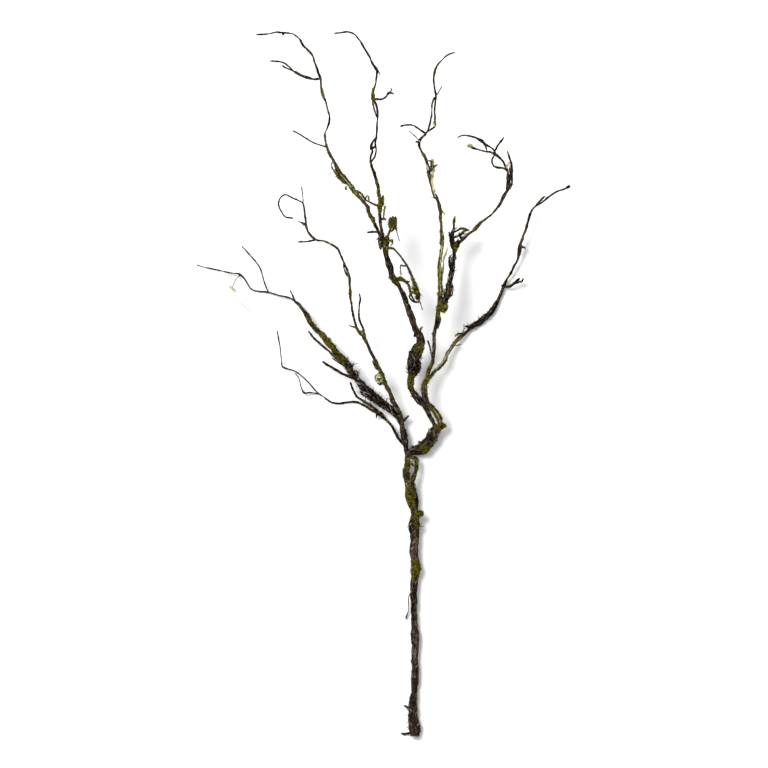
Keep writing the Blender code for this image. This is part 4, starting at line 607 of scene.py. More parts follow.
class Branch_PG_bark(bpy.types.PropertyGroup):
    """Sizes and colours of the bark."""

    step: FloatProperty(name="Step", description="Distance between rings along a limb",
                        default=1.25 * MM, unit="LENGTH")
    facet: FloatProperty(name="Facet", description="Width of a face round a limb",
                         default=1.4 * MM, unit="LENGTH")
    ridge_width: FloatProperty(name="Ridge width", description="Width of a bark ridge",
                               default=2.6 * MM, unit="LENGTH")
    ridge_depth: FloatProperty(name="Ridge depth", description="Depth of the cracks",
                               default=1.1 * MM, unit="LENGTH")
    ridge_stretch: FloatProperty(name="Ridge stretch", description="Length of a ridge over its width",
                                 default=5.0)
    lump_size: FloatProperty(name="Lump size", description="Spacing of lumps and knots",
                             default=8 * MM, unit="LENGTH")
    lump_depth: FloatProperty(name="Lump depth", description="Height of lumps over the radius",
                              default=0.55)
    grain: FloatProperty(name="Grain", description="Depth of the finest roughness",
                         default=0.35 * MM, unit="LENGTH")
    turn: FloatProperty(name="Turn", description="Length in which the grain winds once round",
                        default=90 * MM,
                        unit="LENGTH")
    wobble: FloatProperty(name="Wobble", description="Sideways wander of a limb over its thickness",
                          default=0.16)
    girth: FloatProperty(name="Girth", description="Thickness of the bark over the route's thickness",
                         default=0.9)
    core: FloatProperty(name="Core", description="Thickness of the core that the strands wind round",
                        default=0.74)
    groove: FloatProperty(name="Groove", description="Depth of the grooves between strands over the radius",
                          default=0.3)
    strand_turn: FloatProperty(name="Strand turn", description="Length in which the strands wind once round",
                               default=80 * MM, unit="LENGTH")
    # Near-black painted shade, laid in the cracks and the grooves between strands; also the darkest strips
    # and hairs.
    crack_shade: FloatVectorProperty(name="Cracks", description="Colour in the cracks", subtype="COLOR",
                               default=paint(7, 5, 5))
    brown: FloatVectorProperty(name="Bark", description="Main bark colour", subtype="COLOR",
                               default=paint(50, 39, 30))
    # Worn ridges: partly wear and partly painted highlight on the ridge tops; also the light end of the
    # hairs.
    grey: FloatVectorProperty(name="Worn bark", description="Colour of worn ridges", subtype="COLOR",
                              default=paint(100, 89, 76))
    warm: FloatVectorProperty(name="Peeled bark", description="Colour of peeled spots", subtype="COLOR",
                              default=paint(134, 112, 70))
    wood: FloatVectorProperty(name="Cut wood", description="Colour of the cut foot", subtype="COLOR",
                              default=paint(122, 100, 76))


class Branch_PG_growth(bpy.types.PropertyGroup):
    """Sizes and colours of the moss, lichen and fibres."""

    shoot_spacing: FloatProperty(name="Shoot spacing", description="Least distance between moss shoots",
                                 default=1.18 * MM, unit="LENGTH")
    shoot_length: FloatProperty(name="Shoot length", description="Length of a moss shoot", default=1.7 * MM,
                                unit="LENGTH")
    strip_spacing: FloatProperty(name="Strip spacing", description="Least distance between peeling strips",
                                 default=2.3 * MM, unit="LENGTH")
    strip_length: FloatProperty(name="Strip length", description="Length of a peeling strip",
                                default=6.5 * MM,
                                unit="LENGTH")
    hair_spacing: FloatProperty(name="Hair spacing", description="Least distance between hairs",
                                default=3.6 * MM,
                                unit="LENGTH")
    hair_length: FloatProperty(name="Hair length", description="Length of a hair",
                               default=2.2 * MM, unit="LENGTH")
    crust_spacing: FloatProperty(name="Crust spacing", description="Least distance between lichen flakes",
                                 default=1.6 * MM, unit="LENGTH")
    crust_size: FloatProperty(name="Crust size", description="Width of a lichen flake", default=2.2 * MM,
                              unit="LENGTH")
    # Near-black painted shade down in the moss, near the bark and between clumps.
    moss_shade: FloatVectorProperty(name="Deep moss", description="Moss colour near the bark", subtype="COLOR",
                              default=paint(9, 8, 2))
    olive: FloatVectorProperty(name="Moss", description="Main moss colour", subtype="COLOR",
                               default=paint(93, 87, 23))
    # Yellow-green tips: partly their own colour and partly painted highlight.
    bright: FloatVectorProperty(name="Moss tips", description="Colour of the brightest tips",
                                subtype="COLOR",
                                default=paint(180, 174, 76))
    dry: FloatVectorProperty(name="Dry moss", description="Colour of dry patches of moss", subtype="COLOR",
                             default=paint(108, 84, 38))
    crust_rim: FloatVectorProperty(name="Lichen rims", description="Colour of the lichen flakes' lower rims",
                                   subtype="COLOR", default=paint(84, 82, 50))
    crust: FloatVectorProperty(name="Lichen", description="Colour of the lichen flakes", subtype="COLOR",
                               default=paint(146, 144, 104))
    strip: FloatVectorProperty(name="Strips", description="Colour of the peeling strips", subtype="COLOR",
                               default=paint(58, 47, 40))
    straw: FloatVectorProperty(name="Straw", description="Colour of dry pale fibres", subtype="COLOR",
                               default=paint(196, 186, 140))
    # The few palest strips: partly pale dead bark and partly painted highlight.
    pale_highlight: FloatVectorProperty(name="Palest strips", description="Colour of the few palest strips",
                             subtype="COLOR",
                             default=paint(142, 132, 130))


class Branch_PG_stage(bpy.types.PropertyGroup):
    """The floor, light and camera."""

    floor: FloatVectorProperty(name="Floor", description="Colour of the floor", subtype="COLOR",
                               default=(0.8, 0.8, 0.8))
    floor_size: FloatProperty(name="Floor size", description="Width of the floor",
                              default=60.0, unit="LENGTH")
    sky: FloatProperty(name="Sky", description="Strength of the light from all round", default=0.74)
    lamp_power: FloatProperty(name="Lamp", description="Power of the soft lamp",
                              default=940.0, unit="POWER")
    lamp_width: FloatProperty(name="Lamp width", description="Width of the soft lamp",
                              default=4.0, unit="LENGTH")
    lens: FloatProperty(name="Lens", description="Focal length of the camera", default=1200.0)
    view_width: FloatProperty(name="View width", description="Width that the camera sees", default=1.0752,
                              unit="LENGTH")
    view_level: FloatProperty(name="View level", description="Height at which it sees that width",
                              default=45 * MM, unit="LENGTH")


class Wire:
    """One socket's value. Python's operators on it add the nodes that work the result out."""

    def __init__(self, graph, socket):
        self.graph = graph
        self.socket = socket

    def also(self, output):
        """Another output of the same node."""
        return Wire(self.graph, self.socket.node.outputs[output])

    def __add__(self, other):
        return self.graph.math("ADD", self, other)

    def __radd__(self, other):
        return self.graph.math("ADD", other, self)

    def __sub__(self, other):
        return self.graph.math("SUBTRACT", self, other)

    def __rsub__(self, other):
        return self.graph.math("SUBTRACT", other, self)

    def __mul__(self, other):
        return self.graph.math("MULTIPLY", self, other)

    def __rmul__(self, other):
        return self.graph.math("MULTIPLY", other, self)

    def __truediv__(self, other):
        return self.graph.math("DIVIDE", self, other)

    def __pow__(self, other):
        return self.graph.math("POWER", self, other)


class Graph:
    """Adds nodes to a shader tree or a geometry tree, linked as they are made."""

    def __init__(self, tree):
        self.tree = tree

    def node(self, kind, settings=None, sockets=None, out=0):
        """A node of this type. Settings come before sockets, and a list feeds one socket many times."""
        made = self.tree.nodes.new(kind)
        for name, value in (settings or {}).items():
            setattr(made, name, value)
        for name, value in (sockets or {}).items():
            for each in value if isinstance(value, list) else [value]:
                if isinstance(each, Wire):
                    self.tree.links.new(each.socket, made.inputs[name])
                else:
                    made.inputs[name].default_value = each
        return Wire(self, made.outputs[out]) if made.outputs else None

    def math(self, operation, *values, clamp=False):
        """The result of a Math node on these values."""
        return self.node("ShaderNodeMath", {"operation": operation, "use_clamp": clamp},
                         dict(enumerate(values)))

    def clamped(self, value):
        """The value kept between 0 and 1."""
        return self.math("ADD", value, 0.0, clamp=True)

    def vector(self, operation, *values):
        """The result of a Vector Math node, which is a number for a length."""
        out = "Value" if operation == "LENGTH" else "Vector"
        return self.node("ShaderNodeVectorMath", {"operation": operation}, dict(enumerate(values)), out)

    def scaled(self, vector, factor):
        """The vector times a number."""
        return self.node("ShaderNodeVectorMath", {"operation": "SCALE"}, {0: vector, "Scale": factor})

    def joined(self, x, y, z):
        """The vector with these parts."""
        return self.node("ShaderNodeCombineXYZ", None, {0: x, 1: y, 2: z})

    def split(self, vector):
        """The three parts of a vector."""
        parts = self.node("ShaderNodeSeparateXYZ", None, {0: vector})
        return parts, parts.also(1), parts.also(2)

    def noise(self, vector, size, detail=2.0, roughness=0.55):
        """Smooth noise about 0.5, with features of this size in metres."""
        scale = self.math("DIVIDE", 1.0, size) if isinstance(size, Wire) else 1 / size
        return self.node("ShaderNodeTexNoise", None, {
            "Vector": vector, "Scale": scale, "Detail": detail, "Roughness": roughness})

    def blend(self, factor, first, second):
        """Two colours mixed."""
        return self.node("ShaderNodeMix", {"data_type": "RGBA"},
                         {0: factor, 6: solid(first), 7: solid(second)}, 2)


def solid(colour):
    """A colour with its alpha, or the wire that carries one."""
    return colour if isinstance(colour, Wire) else (*tuple(colour)[:3], 1.0)


def geometry_tree(name, inputs):
    """A geometry tree with these inputs after its geometry, its graph, and a wire for each input."""
    tree = bpy.data.node_groups.new(name, "GeometryNodeTree")
    for direction in ("INPUT", "OUTPUT"):
        tree.interface.new_socket("Geometry", in_out=direction, socket_type="NodeSocketGeometry")
    for label, kind in inputs.items():
        tree.interface.new_socket(label, in_out="INPUT", socket_type="NodeSocket" + kind)
    graph = Graph(tree)
    entry = tree.nodes.new("NodeGroupInput")
    return tree, graph, {socket.name: Wire(graph, socket) for socket in entry.outputs if socket.name}


def close_tree(graph, geometry, material, smooth=True):
    """Ends a tree: its instances are realised, and it gets its shading and its material."""
    real = graph.node("GeometryNodeRealizeInstances", None, {0: geometry})
    shaded = graph.node("GeometryNodeSetShadeSmooth", None, {"Geometry": real, "Shade Smooth": smooth})
    finished = graph.node("GeometryNodeSetMaterial", None, {"Geometry": shaded, "Material": material})
    graph.node("NodeGroupOutput", None, {0: finished})


def stored(graph, geometry, name, value, kind="FLOAT", domain="POINT"):
    """The geometry with this value kept as an attribute."""
    return graph.node("GeometryNodeStoreNamedAttribute", {"data_type": kind, "domain": domain},
                      {"Geometry": geometry, "Name": name, "Value": value})


def attribute(graph, name, kind="FLOAT"):
    """The value of a mesh attribute, in a geometry tree."""
    return graph.node("GeometryNodeInputNamedAttribute", {"data_type": kind}, {"Name": name})


def above_floor(graph, geometry):
    """The geometry with every point kept above the floor."""
    x, y, z = graph.split(graph.node("GeometryNodeInputPosition"))
    level = graph.math("MAXIMUM", z, FLOOR_GAP)
    return graph.node("GeometryNodeSetPosition", None, {
        "Geometry": geometry, "Position": graph.joined(x, y, level)})


def grown(source, tree, values, name):
    """Runs a tree on an object's mesh and returns the result as a plain object. The source is removed."""
    modifier = source.modifiers.new("growth", "NODES")
    modifier.node_group = tree
    for item in tree.interface.items_tree:
        if item.item_type == "SOCKET" and item.in_out == "INPUT" and item.name in values:
            modifier[item.identifier] = values[item.name]
    graph = bpy.context.evaluated_depsgraph_get()
    mesh = bpy.data.meshes.new_from_object(
        source.evaluated_get(graph), preserve_all_data_layers=True, depsgraph=graph)
    source.modifiers.remove(modifier)
    bpy.data.objects.remove(source)
    if not mesh.polygons:
        raise RuntimeError(f"{name} came out empty")
    mesh.name = name
    return bpy.data.objects.new(name, mesh)


def between(before, start, end, after, t):
    """A point on the smooth curve from start to end, with its thickness as the fourth number."""
    return tuple(
        0.5 * (2 * b + (c - a) * t + (2 * a - 5 * b + 4 * c - d) * t**2 + (3 * b - a - 3 * c + d) * t**3)
        for a, b, c, d in zip(before, start, end, after))


def smooth_route(stops, step):
    """Points and radii in metres along the smooth curve through a route."""
    stops = [tuple(value * MM for value in stop) for stop in stops]
    ends = [stops[0], *stops, stops[-1]]
    samples = []
    for before, start, end, after in zip(ends, ends[1:], ends[2:], ends[3:]):
        pieces = max(1, round((Vector(end[:3]) - Vector(start[:3])).length / step))
        samples += [between(before, start, end, after, i / pieces) for i in range(pieces)]
    samples.append(stops[-1])
    return [Vector(s[:3]) for s in samples], [s[3] / 2 for s in samples]


def spot_amount(point, spots):
    """The strongest of the spots at this point. Each is full in its middle and fades out past its reach."""
    most = 0.0
    for x, y, reach, amount in spots:
        gap = math.hypot(point.x - x * MM, point.y - y * MM) / (reach * MM)
        if gap < SPOT_EDGE:
            most = max(most, amount * min(1.0, SPOT_FADE * (SPOT_EDGE - gap)))
    return most


def noise_at(point, size, shift=0.0):
    """Smooth noise between -1 and 1, with features of this size."""
    return noise.noise(Vector(point) / size + Vector((shift, 2 * shift, -shift)))


def limb_samples(name, stops, step, wobble, girth, collar=True):
    """Points and radii along a limb that wanders a little, swells at its start and rounds off at its tip."""
    points, radii = smooth_route(stops, step)
    shift = random.Random(f"{SEED} {name}").uniform(0, 90)
    along = 0.0
    total = sum((b - a).length for a, b in zip(points, points[1:]))
    placed, widths = [], []
    for i, (point, radius) in enumerate(zip(points, radii)):
        if i:
            along += (point - points[i - 1]).length
        sway = Vector((noise_at(point, 9 * MM, shift), noise_at(point, 9 * MM, shift + 7),
                       0.6 * noise_at(point, 9 * MM, shift + 13)))
        left = total - along
        thin = max(0.0, 1 - radius / THIN)
        swell = 1 + (0.12 + 0.38 * thin) * noise_at(point, 6 * MM, shift + 20) \
            + (0.10 + 0.30 * thin) * noise_at(point, 2.5 * MM, shift + 31)
        if collar:
            swell += 0.3 * math.exp(-along / (1.6 * radius))
        width = radius * swell * girth + min(0.55 * MM * thin, 0.45 * radius)
        if left < width:
            width *= math.sqrt(max(0.04, 1 - (1 - left / width) ** 2))
        placed.append(point + sway * (min(2 * radius, 6 * MM) * wobble * min(1.0, along / (3 * radius))))
        widths.append(width)
    return placed, widths


def frames_along(points):
    """Two side directions at each point, turned as little as possible from one to the next."""
    side = None
    for i, point in enumerate(points):
        tangent = (points[min(i + 1, len(points) - 1)] - points[max(i - 1, 0)]).normalized()
        side = tangent.orthogonal() if side is None else side - tangent * side.dot(tangent)
        side.normalize()
        yield side, tangent.cross(side)


def strands_round(name, placed, widths, count, turn):
    """Strands that wind round a limb, each swelling, thinning and sinking in on its own."""
    rng = random.Random(f"{SEED} {name} strands")
    frames = list(frames_along(placed))
    way = rng.choice((-1, 1))
    total = sum((b - a).length for a, b in zip(placed, placed[1:]))
    for k in range(count):
        shift = rng.uniform(0, 60)
        start = (k + rng.uniform(-0.25, 0.25)) / count
        run, line, sizes = 0.0, [], []
        for i, (point, width, (side, other)) in enumerate(zip(placed, widths, frames)):
            if i:
                run += (point - placed[i - 1]).length
            angle = math.tau * (start + way * run / turn) + 1.1 * noise_at((run, shift, 0), 16 * MM, shift)
            shag = spot_amount(point, SHAG_SPOTS)
            reach = 0.60 + 0.11 * noise_at((run, 0, shift), 11 * MM, shift) + 0.24 * shag
            size = 0.41 + 0.12 * noise_at((shift, run, 0), 8 * MM, shift) - 0.15 * shag
            ends = min(1.0, (run + width) / (3 * width), (total - run) / (3 * width) + 0.05)
            line.append(point + (side * math.cos(angle) + other * math.sin(angle)) * width * reach * ends)
            sizes.append(max(0.3 * MM, width * size))
        yield line, sizes


def line_mesh(name, lines):
    """A mesh of loose lines, with a radius, a length run and the growth at each point."""
    rng = random.Random(f"{SEED} {name} lines")
    points, edges = [], []
    values = {key: [] for key in ("thickness", "run", "moss", "shag", "warm", "strand")}
    for bark, placed, widths in lines:
        run, shade = 0.0, rng.random()
        for i, (point, width) in enumerate(zip(placed, widths)):
            values["strand"].append(shade)
            if i:
                edges.append((len(points) - 1, len(points)))
                run += (point - placed[i - 1]).length
            points.append(point)
            values["thickness"].append(width)
            values["run"].append(run + len(lines) * 0.37)
            moss = max(BASE_MOSS[bark], spot_amount(point, MOSS_SPOTS) * MOSS_SHARE.get(bark, 1.0))
            values["moss"].append((moss + (shade - 0.5) * 0.4) * (1 - spot_amount(point, BARE_SPOTS)))
            values["shag"].append(spot_amount(point, SHAG_SPOTS))
            values["warm"].append(max(BASE_WARM[bark], spot_amount(point, WARM_SPOTS)))
    mesh = bpy.data.meshes.new(name)
    mesh.from_pydata(points, edges, [])
    for key, numbers in values.items():
        mesh.attributes.new(key, "FLOAT", "POINT").data.foreach_set("value", numbers)
    return mesh


def limb_tree():
    """Turns lines into limbs: a tube with twisted ridges, lumps and grain, thickened where moss covers it."""
    tree, graph, given = geometry_tree("limb bark", {
        "Sides": "Int", "Ridge Width": "Float", "Ridge Depth": "Float", "Ridge Stretch": "Float",
        "Lump Size": "Float", "Lump Depth": "Float", "Grain": "Float", "Turn": "Float", "Seed": "Float",
        "Strands": "Int", "Groove": "Float", "Strand Turn": "Float", "Material": "Material"})
    curve = graph.node("GeometryNodeMeshToCurve", None, {"Mesh": given["Geometry"]})
    curve = stored(graph, curve, "flow", graph.node("GeometryNodeInputTangent"), "FLOAT_VECTOR")
    thickness = attribute(graph, "thickness")
    curve = graph.node("GeometryNodeSetCurveRadius", None, {"Curve": curve, "Radius": thickness})
    ring = graph.node("GeometryNodeCurvePrimitiveCircle", None, {"Resolution": given["Sides"], "Radius": 1.0})
    ring = stored(graph, ring, "around", graph.node("GeometryNodeSplineParameter"))
    tube = graph.node("GeometryNodeCurveToMesh", None,
                      {"Curve": curve, "Profile Curve": ring, "Scale": thickness, "Fill Caps": True})
    run, shag, moss = attribute(graph, "run"), attribute(graph, "shag"), attribute(graph, "moss")
    angle = (attribute(graph, "around") + run / given["Turn"]) * math.tau
    unrolled = graph.joined(
        graph.math("COSINE", angle) * thickness, graph.math("SINE", angle) * thickness,
        run / given["Ridge Stretch"] + given["Seed"])
    place = graph.node("GeometryNodeInputPosition")
    jitter = graph.noise(place, 5 * MM, 1.0)
    broken = graph.vector(
        "ADD", unrolled, graph.joined(jitter * (3 * MM), jitter * (-2 * MM), jitter * (3 * MM)))
    wave = graph.noise(broken, given["Ridge Width"], 2.0, 0.6)
    ridge = graph.clamped(1 - graph.math("ABSOLUTE", wave * 2 - 1) * 3.4)
    depth = graph.math("MINIMUM", given["Ridge Depth"], thickness * 0.34) * (1 + shag * 1.3)
    lumps = graph.noise(place, given["Lump Size"], 2.0, 0.5) - 0.5
    winding = (attribute(graph, "around") + run / given["Strand Turn"]
               + (jitter - 0.5) * 0.5) * given["Strands"]
    lobe = graph.math("ABSOLUTE", graph.math("SINE", winding * math.pi))
    between_strands = (1 - lobe) ** 2
    groove = between_strands * thickness * given["Groove"] * graph.clamped(lumps * 1.6 + 0.7)
    grain = graph.noise(place, 0.9 * MM, 2.0) - 0.5
    patch = graph.noise(place, 6 * MM, 2.0, 0.6)
    spread = graph.clamped((patch * 0.9 + moss * 1.15 - 1.02) * 3.4)
    clump = graph.noise(place, CLUMP, 1.0)
    tuft = graph.clamped((clump - 0.38) * 7)
    cover = spread * tuft
    lift = (ridge - 0.55) * depth * (1 - cover * 0.6) + lumps * thickness * given["Lump Depth"] \
        + grain * given["Grain"] - groove - spread * graph.math("MINIMUM", thickness * 0.2, 0.8 * MM) \
        + cover * (0.6 * MM)
    normal = graph.node("GeometryNodeInputNormal")
    moved = graph.node("GeometryNodeSetPosition", None, {
        "Geometry": tube, "Offset": graph.scaled(normal, lift)})
    moved = above_floor(graph, moved)
    # height is the relief, which the bark material turns into painted shade in the cracks and grooves and
    # painted highlight on the ridge tops.
    moved = stored(graph, moved, "height", graph.clamped(ridge * 0.55 + 0.5 - between_strands * 0.8))
    moved = stored(graph, moved, "cover", cover)
    close_tree(graph, moved, given["Material"])
    return tree


def scatter_tree(name, covered, lean, spin):
    """Scatters small shapes that stand out from a group of surfaces, leaning and spinning at random."""
    tree, graph, given = geometry_tree(name, {
        "Surfaces": "Collection", "Shapes": "Collection", "Spacing": "Float", "Size": "Float", "Seed": "Int",
        "Material": "Material"})
    surfaces = graph.node("GeometryNodeCollectionInfo", None, {"Collection": given["Surfaces"]})
    surface = graph.node("GeometryNodeRealizeInstances", None, {0: surfaces})
    points = graph.node("GeometryNodeDistributePointsOnFaces", {"distribute_method": "POISSON"}, {
        "Mesh": surface, "Distance Min": given["Spacing"], "Density Max": DENSEST,
        "Density Factor": covered(graph), "Seed": given["Seed"]})
    facing = points.also("Normal")
    shapes = graph.node("GeometryNodeCollectionInfo", None,
                        {"Collection": given["Shapes"], "Separate Children": True, "Reset Children": True})
    turned = graph.node("FunctionNodeAxesToRotation", {"primary_axis": "Z", "secondary_axis": "X"}, {
        "Primary Axis": facing, "Secondary Axis": attribute(graph, "flow", "FLOAT_VECTOR")})
    tilt = graph.node("FunctionNodeRandomValue", {"data_type": "FLOAT_VECTOR"},
                      {0: (-lean, -lean, -spin), 1: (lean, lean, spin), "Seed": given["Seed"]})
    tilted = graph.node("FunctionNodeRotateRotation", {"rotation_space": "LOCAL"}, {
        "Rotation": turned, "Rotate By": graph.node("FunctionNodeEulerToRotation", None, {0: tilt})})
    size = graph.node("FunctionNodeRandomValue", {"data_type": "FLOAT"},
                      {2: 0.55, 3: 1.35, "Seed": given["Seed"]}, 1) * given["Size"]
    placed = graph.node("GeometryNodeInstanceOnPoints", None, {
        "Points": points, "Instance": shapes, "Pick Instance": True, "Rotation": tilted,
        "Scale": graph.joined(size, size, size)})
    shade = graph.node("FunctionNodeRandomValue", {"data_type": "FLOAT"}, {2: 0.0, 3: 1.0, "Seed": 5}, 1)
    placed = stored(graph, placed, "shade", shade, domain="INSTANCE")
    real = graph.node("GeometryNodeRealizeInstances", None, {0: placed})
    close_tree(graph, above_floor(graph, real), given["Material"], smooth=False)
    return tree


def cushion_tree():
    """Turns points with a size into lumpy cushions."""
    tree, graph, given = geometry_tree("moss cushions", {"Material": "Material"})
    points = graph.node("GeometryNodeMeshToPoints", None, {"Mesh": given["Geometry"]})
    ball = graph.node("GeometryNodeMeshIcoSphere", None, {"Radius": 1.0, "Subdivisions": 3})
    size = attribute(graph, "thickness")
    placed = graph.node("GeometryNodeInstanceOnPoints", None, {
        "Points": points, "Instance": ball, "Scale": graph.joined(size, size, size)})
    real = graph.node("GeometryNodeRealizeInstances", None, {0: placed})
    place = graph.node("GeometryNodeInputPosition")
    swell = (graph.noise(place, 5 * MM, 1.0) - 0.5) * 1.1 + (graph.noise(place, 1.8 * MM, 2.0) - 0.5) * 0.8
    normal = graph.node("GeometryNodeInputNormal")
    moved = graph.node("GeometryNodeSetPosition", None, {
        "Geometry": real, "Offset": graph.scaled(normal, swell * attribute(graph, "thickness"))})
    moved = above_floor(graph, moved)
    moved = stored(graph, moved, "cover", graph.clamped(graph.noise(place, 3 * MM, 1.0) * 0.6 + 0.6))
    close_tree(graph, moved, given["Material"])
    return tree


def closed_shape(name, rings):
    """A closed mesh through rings of points, each with a value from 0 at the base to 1 at the tip."""
    bm = bmesh.new()
    layer = bm.verts.layers.float.new("tip")
    loops = []
    for points, value in rings:
        loop = []
        for point in points:
            vert = bm.verts.new(point)
            vert[layer] = value
            loop.append(vert)
        loops.append(loop)
    for lower, upper in zip(loops, loops[1:]):
        if len(upper) == 1:
            for k, vert in enumerate(lower):
                bm.faces.new((vert, lower[(k + 1) % len(lower)], upper[0]))
            continue
        for k, vert in enumerate(lower):
            n = (k + 1) % len(lower)
            bm.faces.new((vert, lower[n], upper[n], upper[k]))
    bm.faces.new(reversed(loops[0]))
    if len(loops[-1]) > 1:
        bm.faces.new(loops[-1])
    bmesh.ops.recalc_face_normals(bm, faces=bm.faces)
    mesh = bpy.data.meshes.new(name)
    bm.to_mesh(mesh)
    bm.free()
    return mesh


def moss_shoot(rng, leaves):
    """A shoot one unit tall: a thin stem with small pointed leaves that spread from it."""
    bm = bmesh.new()
    layer = bm.verts.layers.float.new("tip")

    def spike(base, tip, width, low, high):
        axis = (tip - base).normalized()
        side = axis.orthogonal().normalized() * width
        other = axis.cross(side)
        corners = [bm.verts.new(base + side), bm.verts.new(base - side * 0.5 + other * 0.8),
                   bm.verts.new(base - side * 0.5 - other * 0.8)]
        point = bm.verts.new(tip)
        for corner in corners:
            corner[layer] = low
        point[layer] = high
        bm.faces.new(corners)
        for k in range(3):
            bm.faces.new((corners[k], corners[(k + 1) % 3], point))

    lean = Vector((rng.uniform(-0.15, 0.15), rng.uniform(-0.15, 0.15), 1))
    spike(Vector((0, 0, -0.1)), lean, 0.09, 0.0, 1.0)
    for i in range(leaves):
        level = 0.15 + 0.7 * i / leaves
        turn = 2.4 * i + rng.uniform(-0.4, 0.4)
        out = Vector((math.cos(turn), math.sin(turn), 0))
        base = lean * level
        reach = 0.52 * (1 - 0.45 * level)
        end = base + out * reach + Vector((0, 0, reach * 0.75))
        spike(base, end, 0.11, level * 0.7, min(1.0, level + 0.35))
    bmesh.ops.recalc_face_normals(bm, faces=bm.faces)
    mesh = bpy.data.meshes.new("shoot")
    bm.to_mesh(mesh)
    bm.free()
    return mesh


def ribbon(name, rng, width, lift, bend, sections=5, thick=0.25):
    """A thin strip one unit long that lies along X, lifts towards its tip and bends to a side."""
    rings = []
    for i in range(sections):
        t = i / (sections - 1)
        wide = width * (0.35 + 0.65 * math.sin(math.pi * (0.12 + 0.8 * t)))
        x, y, z = t - 0.3, bend * t * t, 0.02 + lift * max(0.0, t - 0.15) ** 1.6
        rings.append(([(x, y - wide / 2, z), (x, y + wide / 2, z),
                       (x, y + wide * rng.uniform(-0.2, 0.2), z - width * thick)], t))
    return closed_shape(name, rings)


def crust_flake(rng, lobes):
    """A thin lobed flake one unit wide that lies on the surface."""
    turn = rng.uniform(0, math.tau)
    low, high = [], []
    for k in range(lobes):
        angle = turn + math.tau * k / lobes
        reach = 0.5 * rng.uniform(0.6, 1.15)
        low.append((math.cos(angle) * reach * 0.85, math.sin(angle) * reach * 0.85, -0.06))
        high.append((math.cos(angle) * reach, math.sin(angle) * reach, 0.10 + rng.uniform(0, 0.12)))
    return closed_shape("flake", [(low, 0.0), (high, 0.8), ([(0, 0, 0.08)], 1.0)])


def material(name):
    """A new material, its graph and its shader node."""
    made = bpy.data.materials.new(name)
    made.use_nodes = True
    made.node_tree.nodes.clear()
    graph = Graph(made.node_tree)
    shader = graph.node("ShaderNodeBsdfPrincipled")
    graph.node("ShaderNodeOutputMaterial", None, {"Surface": shader})
    return made, graph, shader.socket.node


def feed(graph, shader, **sockets):
    """Links values to the shader's sockets."""
    for name, value in sockets.items():
        graph.tree.links.new(value.socket, shader.inputs[name.replace("_", " ")])


def read(graph, name):
    """The value of a mesh attribute, in a material."""
    return graph.node("ShaderNodeAttribute", {"attribute_name": name}, None, "Fac")


def bark_material(name, looks, growth, tone, pale=False):
    """Rough bark: painted shade in the cracks and the grooves between strands, worn ridges whose tops are
    lighter with partly painted highlight, peeled warm spots, and a green film where moss spreads.
    """
    made, graph, shader = material(name)
    place = graph.node("ShaderNodeTexCoord", None, None, "Object")
    height, cover = read(graph, "height"), read(graph, "cover")
    moss, warm, shag, strand = (read(graph, name) for name in ("moss", "warm", "shag", "strand"))
    broad = graph.noise(place, 14 * MM, 2.0)
    mottle = graph.noise(place, 3.8 * MM, 3.0, 0.65)
    speck = graph.noise(place, 1.3 * MM, 2.0, 0.7)
    # lit holds painted shade and highlight from height, mixed with the bark's own mottle, strand and kind
    # tones.
    lit = graph.clamped(0.44 + (height - 0.55) * 1.0 + (mottle - 0.5) * 2.5 + (broad - 0.5) * 0.4
                        + (strand - 0.5) * 0.5 - shag * 0.1 + tone)
    main, worn = (growth.crust, growth.straw) if pale else (looks.brown, looks.grey)
    colour = graph.blend(graph.clamped(lit * 2.2 - 0.27), looks.crack_shade, main)
    colour = graph.blend(graph.clamped((lit - 0.68) * 2.2), colour, worn)
    peeled = graph.clamped((graph.noise(place, 4.5 * MM, 2.0) + warm * 0.62 - 0.93) * 6)
    # The peeled colour is weaker in the cracks and grooves, so their painted shade stays.
    colour = graph.blend(peeled * (0.35 + height * 0.6), colour, looks.warm)
    film = graph.clamped((graph.noise(place, 5 * MM, 3.0, 0.6) * 1.2 + moss * 0.75 - 1.08) * 4)
    clump = graph.noise(place, CLUMP, 1.0)
    # Moss colour on the bark: painted shade between clumps, olive in their middles.
    green = graph.blend(
        graph.clamped(0.5 + (clump - 0.5) * 3.0 + (speck - 0.5) * 2.4), growth.moss_shade, growth.olive)
    # The green film is weaker in the cracks and grooves, so their painted shade stays.
    colour = graph.blend(film * 0.85 * graph.clamped(height + 0.3), colour, green)
    colour = graph.blend(cover * 0.9, colour, green)
    dust = graph.clamped(
        (graph.noise(place, 2.2 * MM, 2.0) + graph.noise(place, 17 * MM, 1.0) * 0.5 - 0.93) * 9)
    colour = graph.blend(dust * (1 - cover) * 0.5, colour, growth.crust)
    cut = cut_wood(graph, place, looks)
    colour = graph.blend(cut[0], colour, cut[1])
    shader.inputs["Specular IOR Level"].default_value = DULL
    grain = graph.noise(place, 0.8 * MM, 3.0, 0.7) * 0.6 + mottle * 0.8
    bump = graph.node("ShaderNodeBump", None, {"Height": grain, "Strength": 0.55, "Distance": 0.6 * MM})
    feed(graph, shader, Base_Color=colour, Roughness=0.94 - lit * 0.22, Normal=bump)
    return made


def cut_wood(graph, place, looks):
    """Where the foot is cut across, with the colour of its growth rings."""
    x, y, z = graph.split(place)
    mask = graph.clamped((CAD_BOX[0][1] + CUT_DEPTH - y) * (1 / (0.4 * MM)))
    from_middle = graph.vector("LENGTH", graph.joined(x - FOOT_X * MM, 0.0, z - FOOT_Z * MM))
    rings = graph.math("SINE", from_middle * (math.tau / RING_WIDTH) + graph.noise(place, 3 * MM) * 6)
    shade = graph.clamped(0.5 + rings * 0.22 + (graph.noise(place, 1.2 * MM) - 0.5))
    return mask, graph.blend(shade, looks.brown, looks.wood)


